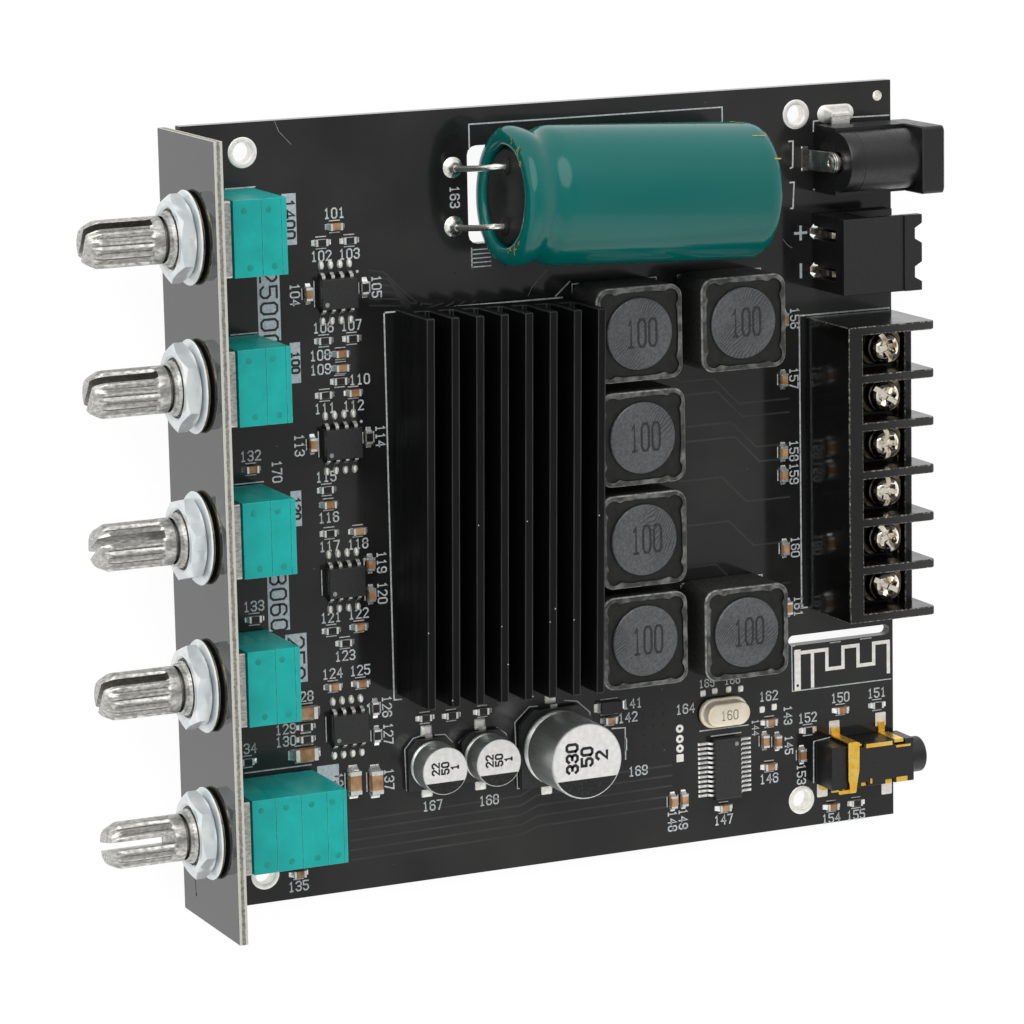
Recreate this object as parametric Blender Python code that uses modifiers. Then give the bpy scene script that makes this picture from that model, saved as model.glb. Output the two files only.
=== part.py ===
"""Audio amplifier board: a 100 mm circuit board with five knurled potentiometer shafts through a
front panel, a finned heatsink, a sunk reservoir capacitor, six output inductors, and the power,
speaker and audio sockets along its back edge.

Frame: metres, +Z up. The board lies flat with its parts on top. The front panel and the shafts
face -Y, the sockets face +Y. The origin is the centre of the board's underside.

Places on the board are given as along (from the end with the power socket, towards +X), back
(from the front edge, towards +Y) and up (from the board's top face). A negative along or back
counts from the far edge instead.
"""
import math

import bmesh
import bpy
from mathutils import Matrix, Vector

MM = 0.001
GAP = 0.3 * MM  # air left between pieces that touch on the real board

# Circuit board
BOARD_LONG = 99.75 * MM
BOARD_WIDE = 99.55 * MM
BOARD_THICK = 1.6 * MM
MOUNT_HOLE_RADIUS = 1.5 * MM
MOUNT_HOLE_FROM_END = 3.72 * MM
MOUNT_HOLE_FROM_FRONT = 8.1 * MM
MOUNT_HOLE_FROM_REAR = 14.1 * MM
TOOLING_HOLE_RADIUS = 0.65 * MM
TOOLING_HOLE_INSET = 2.0 * MM
ANTENNA_SLOT_ALONG = -25.75 * MM
ANTENNA_SLOT_WIDE = 1.4 * MM
ANTENNA_SLOT_LONG = 15.4 * MM
ANTENNA_SLOT_FROM_REAR = 0.5 * MM
LEAD_BELOW_BOARD = 1.8 * MM
SUNK_IN_BOARD = 0.2 * MM  # how far a soldered chip is let into the board to make one solid

# Front panel
PANEL_START = 0.4 * MM
PANEL_PAST_END = 0.35 * MM
PANEL_THICK = 1.1 * MM
PANEL_BELOW = 4.15 * MM
PANEL_TALL = 19.5 * MM

# Potentiometers: along, number of gangs, turn of the shaft's slot and of the nut in degrees
POTS = (
    (12.85 * MM, 1, 58.0, -3.0),
    (31.2 * MM, 1, 52.0, 33.0),
    (50.15 * MM, 1, 31.0, 14.0),
    (68.85 * MM, 1, 53.0, 23.0),
    (87.75 * MM, 2, 12.0, 41.0),
)
POT_AXIS_UP = 6.5 * MM
POT_WIDE = 9.5 * MM
POT_TOP = 11.6 * MM
POT_PLATE_THICK = 1.9 * MM
POT_FIRST_GANG = 7.0 * MM
POT_NEXT_GANG = 5.7 * MM
POT_GROOVE_WIDE = 0.2 * MM
POT_GROOVE_DEEP = 0.12 * MM
POT_PIN_PITCH = 2.5 * MM
POT_PIN_WIDE = 0.8 * MM
POT_PIN_THICK = 0.5 * MM
BUSHING_RADIUS = 3.45 * MM
BUSHING_BORE = 2.9 * MM
BUSHING_LONG = 5.3 * MM
WASHER_RADIUS = 5.85 * MM
WASHER_THICK = 0.45 * MM
NUT_ACROSS_FLATS = 9.6 * MM
NUT_THICK = 2.0 * MM

# Potentiometer shaft
SHAFT_RADIUS = 2.96 * MM
KNURL_DEEP = 0.28 * MM
KNURL_TEETH = 18
KNURL_LONG = 6.8 * MM
COLLAR_LONG = 1.5 * MM
TIP_LONG = 1.5 * MM
TIP_RADIUS = 2.1 * MM
SLOT_WIDE = 1.05 * MM
SLOT_DEEP = 8.4 * MM
JOURNAL_RADIUS = 2.5 * MM
ROTOR_RADIUS = 3.6 * MM
ROTOR_THICK = 1.0 * MM
ROTOR_POCKET_DEEP = 2.0 * MM

# Heatsink, glued slightly askew on the two amplifier chips
HEATSINK_LONG = 49.7 * MM
HEATSINK_WIDE = 24.65 * MM
HEATSINK_ALONG = 49.75 * MM
HEATSINK_BACK = 39.2 * MM
HEATSINK_TURN = -1.3
HEATSINK_TOP = 11.4 * MM
HEATSINK_BASE_THICK = 2.6 * MM
FIN_COUNT = 8
FIN_THICK = 1.1 * MM
FIN_ROOT_FILLET = 0.4 * MM
AMP_CHIP_LONG = 11.0 * MM
AMP_CHIP_WIDE = 6.2 * MM
AMP_CHIP_TALL = 1.2 * MM
AMP_CHIP_APART = 26.0 * MM

# Reservoir capacitor, lying slightly askew in a slot of the board
CAN_RADIUS = 8.85 * MM
CAN_LONG = 35.9 * MM
CAN_ALONG = 11.38 * MM
CAN_BACK = 57.6 * MM
CAN_AXIS_UP = 7.6 * MM
CAN_TURN = -2.6
CAN_EDGE = 1.3 * MM
CAN_GROOVE_AT = 3.9 * MM
CAN_GROOVE_DEEP = 0.65 * MM
CAN_MOUTH_RADIUS = 6.4 * MM
CAN_MOUTH_DEEP = 2.2 * MM
BUNG_RECESS = 0.6 * MM
CAN_LEAD_RADIUS = 0.4 * MM
CAN_LEAD_PITCH = 7.5 * MM
CAN_LEAD_HOLES_ALONG = 11.2 * MM
CAN_LEAD_HOLES_BACK = 36.4 * MM
CAN_SLOT_ALONG = 11.1 * MM
CAN_SLOT_BACK = 57.4 * MM
CAN_SLOT_LONG = 38.0 * MM
CAN_SLOT_WIDE = 12.5 * MM
CAN_SLOT_CORNER = 1.2 * MM

# Small upright capacitors: along, back, can radius, height
UPRIGHT_CANS = (
    (-15.65 * MM, 31.1 * MM, 3.15 * MM, 5.4 * MM),
    (-15.8 * MM, 38.65 * MM, 3.15 * MM, 5.4 * MM),
    (-15.8 * MM, 48.9 * MM, 5.0 * MM, 10.2 * MM),
)
UPRIGHT_BASE_THICK = 0.9 * MM
UPRIGHT_BASE_LIP = 0.15 * MM

# Output inductors: along, back
INDUCTORS = (
    (29.45 * MM, 58.45 * MM),
    (29.25 * MM, 73.4 * MM),
    (42.95 * MM, 58.7 * MM),
    (56.3 * MM, 58.7 * MM),
    (69.6 * MM, 58.65 * MM),
    (70.1 * MM, 73.4 * MM),
)
INDUCTOR_WIDE = 12.2 * MM
INDUCTOR_TOP = 8.0 * MM
INDUCTOR_CORNER = 1.7 * MM
INDUCTOR_WELL_RADIUS = 5.6 * MM
INDUCTOR_WELL_DEEP = 0.5 * MM
INDUCTOR_CORE_RADIUS = 4.3 * MM

# Round power socket on the back edge
JACK_ALONG = 9.6 * MM
JACK_WIDE = 8.8 * MM
JACK_TOP = 11.0 * MM
JACK_REAR_FROM_EDGE = 11.5 * MM
JACK_NOSE_PAST_EDGE = 1.95 * MM
JACK_FLANGE_LONG = 3.3 * MM
JACK_BARREL_RADIUS = 3.92 * MM
JACK_AXIS_UP = 6.5 * MM
JACK_BORE_RADIUS = 3.15 * MM
JACK_BORE_DEEP = 9.5 * MM
JACK_PIN_RADIUS = 1.0 * MM
JACK_PIN_SHORT_OF_FACE = 1.0 * MM
JACK_STRAP_WIDE = 2.6 * MM
JACK_STRAP_THICK = 0.4 * MM
JACK_STRAP_BEHIND = 1.35 * MM
JACK_STRAP_KNEE_UP = 2.7 * MM
JACK_SIDE_LEG_ALONG = 3.95 * MM
JACK_SIDE_LEG_AHEAD = 3.25 * MM
JACK_SIDE_TAB_LOW = 1.1 * MM
JACK_SIDE_TAB_HIGH = 1.9 * MM

# Two-pole plug header
HEADER_ALONG = 21.85 * MM
HEADER_PITCH = 5.08 * MM
HEADER_POLES = 2
HEADER_WIDE = 10.0 * MM
HEADER_FRONT_FROM_EDGE = 0.25 * MM
HEADER_TOP = 8.5 * MM
HEADER_REAR_FROM_EDGE = 11.75 * MM
HEADER_WALL = 1.0 * MM
HEADER_MOUTH_DEEP = 7.5 * MM
HEADER_LIP_LONG = 2.6 * MM
HEADER_LIP_RAISED = 0.3 * MM
HEADER_NOTCH_MOUTH = 2.6 * MM
HEADER_NOTCH_FLOOR = 1.4 * MM
HEADER_NOTCH_DEEP = 1.05 * MM
HEADER_PIN = 1.0 * MM
HEADER_PIN_UP = 4.9 * MM
HEADER_GROOVE_WIDE = 1.6 * MM
HEADER_GROOVE_DEEP = 1.3 * MM
HEADER_GROOVE_TOP = 6.2 * MM

# Speaker terminal block
TERMINALS = 6
TERMINAL_PITCH = 6.35 * MM
TERMINAL_ALONG = 50.1 * MM
TERMINAL_REAR_FROM_EDGE = 13.0 * MM
TERMINAL_LIP_FROM_EDGE = 1.1 * MM
TERMINAL_FIN_FROM_EDGE = 0.15 * MM
TERMINAL_TOP = 12.0 * MM
TERMINAL_FLOOR = 5.6 * MM
TERMINAL_FIN_THICK = 1.15 * MM
TERMINAL_BACK_WALL = 2.1 * MM
TERMINAL_LIP_THICK = 1.1 * MM
TERMINAL_LIP_TOP = 7.4 * MM
TERMINAL_SCREW_FROM_EDGE = 5.4 * MM
TERMINAL_PIN_WIDE = 1.2 * MM
CLAMP_THICK = 0.9 * MM
CLAMP_DEEP = 6.0 * MM
CLAMP_CORNER = 1.6 * MM
SCREW_HEAD_RADIUS = 2.1 * MM
SCREW_HEAD_TALL = 1.7 * MM
SCREW_SHANK_RADIUS = 1.2 * MM
SCREW_SHANK_LONG = 5.0 * MM
SCREW_RECESS_WIDE = 0.7 * MM
SCREW_RECESS_DEEP = 0.8 * MM
SCREW_TURNS = (20.0, 55.0, 4.0, -4.0, 28.0, 62.0)

# Audio socket
AUDIO_ALONG = -8.75 * MM
AUDIO_WIDE = 5.9 * MM
AUDIO_TOP = 5.0 * MM
AUDIO_REAR_FROM_EDGE = 12.1 * MM
AUDIO_BODY_PAST_EDGE = 0.4 * MM
AUDIO_NOSE_LONG = 2.1 * MM
AUDIO_NOSE_RADIUS = 2.4 * MM
AUDIO_BORE_RADIUS = 1.8 * MM
AUDIO_BORE_DEEP = 11.0 * MM
AUDIO_CLIP_BACK = -9.0 * MM
AUDIO_CLIP_WIDE = 1.7 * MM
AUDIO_CLIP_THICK = 0.25 * MM

# Crystal and radio chip
CRYSTAL_ALONG = -17.4 * MM
CRYSTAL_BACK = -26.0 * MM
CRYSTAL_LONG = 7.1 * MM
CRYSTAL_WIDE = 4.0 * MM
CRYSTAL_FLANGE_THICK = 0.5 * MM
CRYSTAL_FLANGE_LIP = 0.4 * MM
CRYSTAL_TOP = 2.4 * MM
RADIO_ALONG = -9.8 * MM
RADIO_BACK = -25.75 * MM
RADIO_LONG = 8.4 * MM
RADIO_BODY_WIDE = 4.0 * MM
RADIO_TALL = 1.5 * MM
RADIO_LEAD_SPAN = 6.9 * MM
RADIO_LEADS_A_SIDE = 12
RADIO_LEAD_PITCH = 0.64 * MM
RADIO_LEAD_WIDE = 0.32 * MM

# Eight-lead chips: along, back
OP_AMPS = (
    (22.05 * MM, 20.0 * MM),
    (41.15 * MM, 20.0 * MM),
    (-40.8 * MM, 19.9 * MM),
    (-21.7 * MM, 19.9 * MM),
)
OP_AMP_LONG = 4.9 * MM
OP_AMP_BODY_WIDE = 3.9 * MM
OP_AMP_TALL = 1.6 * MM
OP_AMP_LEAD_SPAN = 6.2 * MM
OP_AMP_LEAD_PITCH = 1.27 * MM
OP_AMP_LEAD_WIDE = 0.42 * MM
LEAD_FOOT_TALL = 0.3 * MM

# Chip resistors and capacitors: length, width, height
CHIP_SIZES = {
    "resistor": (1.6 * MM, 0.8 * MM, 0.45 * MM),
    "capacitor": (1.6 * MM, 0.8 * MM, 0.8 * MM),
    "large": (3.0 * MM, 1.5 * MM, 1.1 * MM),
}
# Each chip: size, along and back in mm, and whether its length runs along the board
CHIPS = (
    ("capacitor", 13.75, 20.1, False), ("resistor", 15.65, 18.2, False), ("resistor", 15.65, 22.0, False),
    ("capacitor", 21.95, 16.2, True), ("resistor", 21.75, 23.9, True), ("resistor", 28.05, 18.2, False),
    ("resistor", 28.05, 22.0, False), ("capacitor", 29.85, 20.4, False), ("capacitor", 31.65, 20.4, False),
    ("resistor", 33.35, 20.2, False), ("resistor", 34.95, 18.1, False), ("capacitor", 34.95, 22.0, False),
    ("capacitor", 41.05, 16.2, True), ("resistor", 40.85, 23.9, True), ("resistor", 47.05, 18.0, False),
    ("capacitor", 48.95, 18.2, False), ("resistor", -47.1, 18.2, False), ("capacitor", -47.0, 22.1, False),
    ("capacitor", -42.6, 23.6, True), ("capacitor", -38.6, 23.6, True), ("resistor", -34.5, 18.1, False),
    ("capacitor", -34.6, 21.9, False), ("resistor", -32.7, 19.9, False), ("capacitor", -27.2, 18.1, False),
    ("capacitor", -27.2, 21.9, False), ("resistor", -23.7, 23.8, True), ("resistor", -20.1, 23.9, True),
    ("large", -24.3, 14.0, False), ("resistor", -22.4, 14.2, False), ("resistor", -20.8, 14.2, False),
    ("large", -18.9, 13.9, False), ("capacitor", 43.45, 7.9, False), ("resistor", -37.1, 7.7, False),
    ("resistor", -18.8, 6.1, False), ("capacitor", -3.3, 12.6, False), ("large", -14.4, 20.5, True),
    ("large", -14.1, 23.5, True), ("resistor", -21.6, 30.7, False), ("resistor", -21.5, 34.4, False),
    ("resistor", -21.5, 38.8, False), ("large", -20.0, 57.0, False), ("capacitor", -18.2, 57.0, False),
    ("capacitor", -15.1, -18.9, False), ("capacitor", -12.6, -19.7, True), ("capacitor", -12.3, -17.8, True),
    ("capacitor", -9.0, -19.0, False), ("capacitor", -4.2, -25.9, False), ("capacitor", -6.0, -33.5, True),
    ("capacitor", -6.1, -31.9, True), ("capacitor", -15.5, -8.1, False), ("resistor", -15.5, -2.5, False),
    ("resistor", -13.3, -13.1, False), ("capacitor", -10.0, -14.1, True), ("capacitor", -2.3, -9.6, False),
    ("resistor", -2.3, -5.8, False), ("capacitor", 30.55, -16.2, True), ("capacitor", 38.55, -16.4, True),
    ("capacitor", 48.25, -16.5, True), ("capacitor", -48.4, -16.5, True), ("capacitor", -38.5, -16.4, True),
    ("capacitor", -30.4, -16.0, True),
)

# Facets of the round pieces
FINE = 28
MEDIUM = 20
COARSE = 16
TINY = 8

# Turns the axis of a lathe-made piece from local +Z to the board's front (-Y) or back (+Y)
FACING_FRONT = Matrix.Rotation(math.radians(90), 4, "X")
FACING_BACK = Matrix.Rotation(math.radians(-90), 4, "X")
# Stands an outline drawn in XY up in the YZ plane, with its thickness along X
ACROSS_BOARD = Matrix(((0, 0, 1, 0), (1, 0, 0, 0), (0, 1, 0, 0), (0, 0, 0, 1)))


def from_near(distance, whole):
    """A negative distance counts from the far edge."""
    return distance if distance >= 0 else whole + distance


def at(along, back, up=0.0):
    """The world point of a place on the board."""
    return Vector((
        from_near(along, BOARD_LONG) - BOARD_LONG / 2,
        from_near(back, BOARD_WIDE) - BOARD_WIDE / 2,
        BOARD_THICK + up,
    ))


def empty_scene():
    """Removes what the opened file holds and makes the two collections."""
    for old in list(bpy.data.objects):
        bpy.data.objects.remove(old, do_unlink=True)
    collections = {}
    for name in ("audio_amplifier_board", "cutters"):
        collections[name] = bpy.data.collections.new(name)
        bpy.context.scene.collection.children.link(collections[name])
    return collections["audio_amplifier_board"], collections["cutters"]


PARTS, CUTTERS = empty_scene()


def material(name, red, green, blue, roughness, metallic=0.0):
    """A Principled BSDF material."""
    made = bpy.data.materials.new(name)
    made.use_nodes = True
    shader = made.node_tree.nodes["Principled BSDF"]
    shader.inputs["Base Color"].default_value = (red, green, blue, 1.0)
    shader.inputs["Roughness"].default_value = roughness
    shader.inputs["Metallic"].default_value = metallic
    return made


SOLDER_MASK = material("black_solder_mask", 0.012, 0.012, 0.013, 0.30)
GLOSS_BLACK = material("gloss_black_panel", 0.02, 0.02, 0.022, 0.08)
TEAL_PLASTIC = material("teal_moulded_plastic", 0.015, 0.40, 0.35, 0.45)
DIE_CAST = material("zinc_die_cast", 0.52, 0.52, 0.48, 0.45, 1.0)
ZINC_PLATED = material("bright_zinc_plate", 0.66, 0.70, 0.72, 0.22, 1.0)
ANODISED = material("black_anodised_aluminium", 0.015, 0.016, 0.015, 0.42, 0.3)
TEAL_SLEEVE = material("teal_pvc_sleeve", 0.012, 0.15, 0.14, 0.30)
RUBBER = material("black_rubber", 0.01, 0.01, 0.01, 0.8)
BARE_CAN = material("bare_aluminium_can", 0.80, 0.79, 0.77, 0.30, 1.0)
FERRITE = material("grey_ferrite", 0.045, 0.047, 0.048, 0.55)
BLACK_NYLON = material("black_moulded_nylon", 0.012, 0.012, 0.012, 0.35)
NICKEL = material("nickel_plate", 0.62, 0.56, 0.48, 0.25, 1.0)
GOLD_FLASH = material("gold_flash", 0.90, 0.55, 0.12, 0.28, 1.0)
CREAM_STEEL = material("cream_tinned_steel", 0.70, 0.64, 0.52, 0.35, 1.0)
BLACK_EPOXY = material("black_epoxy", 0.02, 0.02, 0.021, 0.5)


def add_object(name, data, paint, collection=PARTS):
    """Links an object with its material."""
    made = bpy.data.objects.new(name, data)
    if not data.materials:
        data.materials.append(paint)
    collection.objects.link(made)
    return made


def add_mesh(name, work, paint, collection=PARTS):
    """Turns a bmesh into a named object."""
    bmesh.ops.recalc_face_normals(work, faces=work.faces)
    mesh = bpy.data.meshes.new(name)
    work.to_mesh(mesh)
    work.free()
    return add_object(name, mesh, paint, collection)


def smooth(piece, degrees=40):
    """Shades round faces smooth and keeps the real edges sharp."""
    piece.data.shade_smooth()
    piece.data.set_sharp_from_angle(angle=math.radians(degrees))
    return piece


def put(piece, place, turn=None):
    """Places a piece, turned first if a matrix is given."""
    piece.matrix_world = Matrix.Translation(place) @ (turn or Matrix.Identity(4))
    return piece


def boxes(name, corner_pairs, paint, collection=PARTS):
    """One mesh of boxes, each given by its low and high corner."""
    work = bmesh.new()
    for low, high in corner_pairs:
        low, high = Vector(low), Vector(high)
        size = high - low
        move = Matrix.Translation((low + high) / 2) @ Matrix.Diagonal((*size, 1.0))
        bmesh.ops.create_cube(work, size=1.0, matrix=move)
    return add_mesh(name, work, paint, collection)


def circle(radius, count, centre=(0.0, 0.0)):
    """The points of a regular outline."""
    steps = (math.tau * (index + 0.5) / count for index in range(count))
    return [(centre[0] + radius * math.cos(a), centre[1] + radius * math.sin(a)) for a in steps]


def rounded_rectangle(wide, tall, radius, corner_points=4):
    """A rectangle about the origin with round corners."""
    outline = []
    for quarter, (side_x, side_y) in enumerate(((1, 1), (-1, 1), (-1, -1), (1, -1))):
        centre = (side_x * (wide / 2 - radius), side_y * (tall / 2 - radius))
        for step in range(corner_points):
            angle = math.radians(90 * (quarter + step / (corner_points - 1)))
            outline.append((centre[0] + radius * math.cos(angle), centre[1] + radius * math.sin(angle)))
    return outline


def slab(name, outlines, thickness, paint, collection=PARTS):
    """A flat piece from an outline and its holes, its thickness centred on z = 0."""
    curve = bpy.data.curves.new(name, "CURVE")
    curve.dimensions = "2D"
    curve.fill_mode = "BOTH"
    curve.extrude = thickness / 2
    for outline in outlines:
        spline = curve.splines.new("POLY")
        spline.points.add(len(outline) - 1)
        for point, (x, y) in zip(spline.points, outline):
            point.co = (x, y, 0.0, 1.0)
        spline.use_cyclic_u = True
    return mesh_of_curve(name, curve, paint, collection)


def prisms(name, outlines, low, high, paint, collection=PARTS):
    """One mesh of upright prisms that stand apart from each other."""
    work = bmesh.new()
    for outline in outlines:
        lower = [work.verts.new((x, y, low)) for x, y in outline]
        upper = [work.verts.new((x, y, high)) for x, y in outline]
        work.faces.new(lower)
        work.faces.new(upper)
        for i in range(len(outline)):
            j = (i + 1) % len(outline)
            work.faces.new((lower[i], lower[j], upper[j], upper[i]))
    return add_mesh(name, work, paint, collection)


def mesh_of_curve(name, curve, paint, collection=PARTS):
    """A curve as a closed mesh, its caps welded on."""
    drawn = bpy.data.objects.new(name + "_curve", curve)
    CUTTERS.objects.link(drawn)
    bpy.context.view_layer.update()
    mesh = bpy.data.meshes.new_from_object(drawn.evaluated_get(bpy.context.evaluated_depsgraph_get()))
    bpy.data.objects.remove(drawn)
    work = bmesh.new()
    work.from_mesh(mesh)
    bpy.data.meshes.remove(mesh)
    bmesh.ops.remove_doubles(work, verts=work.verts, dist=1e-7)
    return add_mesh(name, work, paint, collection)


def wire(name, points, radius, paint, collection=CUTTERS):
    """A round wire through the points."""
    curve = bpy.data.curves.new(name, "CURVE")
    curve.dimensions = "3D"
    curve.bevel_depth = radius
    curve.bevel_resolution = 1
    curve.use_fill_caps = True
    spline = curve.splines.new("POLY")
    spline.points.add(len(points) - 1)
    for point, place in zip(spline.points, points):
        point.co = (*place, 1.0)
    return mesh_of_curve(name, curve, paint, collection)


def turned(name, profile, facets, paint, ring=False, collection=PARTS):
    """A lathe-made piece: (radius, height) points down its outer side, turned about local Z.

    A ring's profile closes on itself and stays clear of the axis.
    """
    mesh = bpy.data.meshes.new(name)
    points = [(radius, 0.0, height) for radius, height in profile]
    edges = [(i, i + 1) for i in range(len(points) - 1)]
    if ring:
        edges.append((len(points) - 1, 0))
    mesh.from_pydata(points, edges, [])
    made = add_object(name, mesh, paint, collection)
    screw = made.modifiers.new("turn", "SCREW")
    screw.axis = "Z"
    screw.steps = facets
    screw.render_steps = facets
    screw.use_merge_vertices = True
    screw.merge_threshold = 1e-5
    screw.use_smooth_shade = True
    return made


def lofted(name, rings, paint, collection=PARTS):
    """A closed skin through rings of equally many points, capped at both ends."""
    work = bmesh.new()
    rows = [[work.verts.new(point) for point in ring] for ring in rings]
    count = len(rows[0])
    for lower, upper in zip(rows, rows[1:]):
        for i in range(count):
            j = (i + 1) % count
            work.faces.new((lower[i], lower[j], upper[j], upper[i]))
    work.faces.new(rows[0])
    work.faces.new(rows[-1])
    return add_mesh(name, work, paint, collection)


def bent_strip(name, path, wide, thick, paint, collection=PARTS):
    """A strip of metal through (back, up) points, its width along the board."""
    rings = []
    for index, (back, up) in enumerate(path):
        before = path[max(index - 1, 0)]
        after = path[min(index + 1, len(path) - 1)]
        run = Vector((after[0] - before[0], after[1] - before[1])).normalized()
        side = Vector((-run.y, run.x)) * thick / 2
        rings.append([
            (-wide / 2, back + side.x, up + side.y), (wide / 2, back + side.x, up + side.y),
            (wide / 2, back - side.x, up - side.y), (-wide / 2, back - side.x, up - side.y),
        ])
    return lofted(name, rings, paint, collection)


def boolean(piece, tool, operation):
    """Cuts or joins a piece with a tool, which stays as a wire guide."""
    for collection in list(tool.users_collection):
        collection.objects.unlink(tool)
    CUTTERS.objects.link(tool)
    tool.hide_render = True
    tool.display_type = "WIRE"
    modifier = piece.modifiers.new(tool.name, "BOOLEAN")
    modifier.operation = operation
    modifier.solver = "EXACT"
    modifier.object = tool
    return piece


def cut(piece, tool):
    return boolean(piece, tool, "DIFFERENCE")


def join(piece, tool):
    return boolean(piece, tool, "UNION")


def keep_within(piece, tool):
    return boolean(piece, tool, "INTERSECT")


def potentiometer(number, along, gangs, slot_turn, nut_turn):
    """The five pieces of one potentiometer. Local x is along, y is up and z is outwards."""
    axis = at(along, 0.0, POT_AXIS_UP)
    foot = GAP - POT_AXIS_UP
    top = POT_TOP - POT_AXIS_UP
    name = f"pot_{number}"

    bushing = boxes(
        f"{name}_bushing",
        [((-POT_WIDE / 2, foot, -POT_PLATE_THICK), (POT_WIDE / 2, top, 0.0))],
        DIE_CAST,
    )
    barrel = turned(
        f"{name}_bushing_barrel",
        [(0.0, BUSHING_LONG), (BUSHING_RADIUS, BUSHING_LONG), (BUSHING_RADIUS, -POT_PLATE_THICK / 2),
         (0.0, -POT_PLATE_THICK / 2)],
        MEDIUM, DIE_CAST,
    )
    bore = turned(
        f"{name}_bushing_bore",
        [(0.0, 2 * BUSHING_LONG), (BUSHING_BORE, 2 * BUSHING_LONG), (BUSHING_BORE, -2 * POT_PLATE_THICK),
         (0.0, -2 * POT_PLATE_THICK)],
        COARSE, DIE_CAST,
    )
    for piece in (bushing, barrel, bore):
        put(piece, axis, FACING_FRONT)
    cut(join(bushing, barrel), bore)

    shaft_pieces(name, axis, slot_turn)
    housing_pieces(name, axis, gangs, foot, top)

    washer_at = GAP + PANEL_THICK + GAP
    hole = BUSHING_RADIUS + GAP
    washer = turned(
        f"{name}_washer",
        [(hole, washer_at + WASHER_THICK), (WASHER_RADIUS, washer_at + WASHER_THICK),
         (WASHER_RADIUS, washer_at), (hole, washer_at)],
        MEDIUM, ZINC_PLATED, ring=True,
    )
    put(washer, axis, FACING_FRONT)

    nut_at = washer_at + WASHER_THICK + GAP
    corner = NUT_ACROSS_FLATS / 2 / math.cos(math.radians(30))
    hexagon = [(corner * math.cos(a), corner * math.sin(a))
               for a in (math.radians(60 * side) for side in range(6))]
    nut = slab(f"{name}_nut", [hexagon, circle(hole, COARSE)], NUT_THICK, ZINC_PLATED)
    flat = NUT_ACROSS_FLATS / 2
    half = NUT_THICK / 2
    chamfer = turned(
        f"{name}_nut_chamfer",
        [(0.0, half + MM), (flat, half + MM), (flat, half), (corner + MM, half - (corner + MM - flat) / 2),
         (corner + MM, -half - MM), (0.0, -half - MM)],
        12, ZINC_PLATED,
    )
    turn = FACING_FRONT @ Matrix.Rotation(math.radians(nut_turn), 4, "Z")
    nut_centre = axis + Vector((0.0, -(nut_at + half), 0.0))
    for piece in (nut, chamfer):
        put(piece, nut_centre, turn)
    keep_within(nut, chamfer)


def shaft_pieces(name, axis, slot_turn):
    """A knurled and split shaft with a collar, a journal and the rotor disc that holds it in."""
    count = 2 * KNURL_TEETH
    root = SHAFT_RADIUS - KNURL_DEEP

    def ring(height, outer, inner):
        radii = (outer if i % 2 == 0 else inner for i in range(count))
        steps = (math.tau * i / count for i in range(count))
        return [(r * math.cos(a), r * math.sin(a), height) for r, a in zip(radii, steps)]

    collar_start = BUSHING_LONG + GAP
    knurl_start = collar_start + COLLAR_LONG
    tip_start = knurl_start + KNURL_LONG
    tip = tip_start + TIP_LONG
    shaft = lofted(
        f"{name}_shaft",
        [ring(collar_start, SHAFT_RADIUS, SHAFT_RADIUS), ring(knurl_start, SHAFT_RADIUS, SHAFT_RADIUS),
         ring(knurl_start, SHAFT_RADIUS, root), ring(tip_start, SHAFT_RADIUS, root),
         ring(tip, TIP_RADIUS, TIP_RADIUS)],
        DIE_CAST,
    )
    rotor_front = -(POT_PLATE_THICK + GAP + GAP)
    rotor_back = rotor_front - ROTOR_THICK
    journal = turned(
        f"{name}_shaft_journal",
        [(0.0, knurl_start - GAP), (JOURNAL_RADIUS, knurl_start - GAP), (JOURNAL_RADIUS, rotor_front),
         (ROTOR_RADIUS, rotor_front), (ROTOR_RADIUS, rotor_back), (0.0, rotor_back)],
        COARSE, DIE_CAST,
    )
    slot = boxes(
        f"{name}_shaft_slot",
        [((-SLOT_WIDE / 2, -2 * SHAFT_RADIUS, tip - SLOT_DEEP),
          (SLOT_WIDE / 2, 2 * SHAFT_RADIUS, tip + MM))],
        DIE_CAST,
    )
    turn = FACING_FRONT @ Matrix.Rotation(math.radians(slot_turn), 4, "Z")
    for piece in (shaft, journal, slot):
        put(piece, axis, turn)
    cut(join(shaft, journal), slot)


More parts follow.
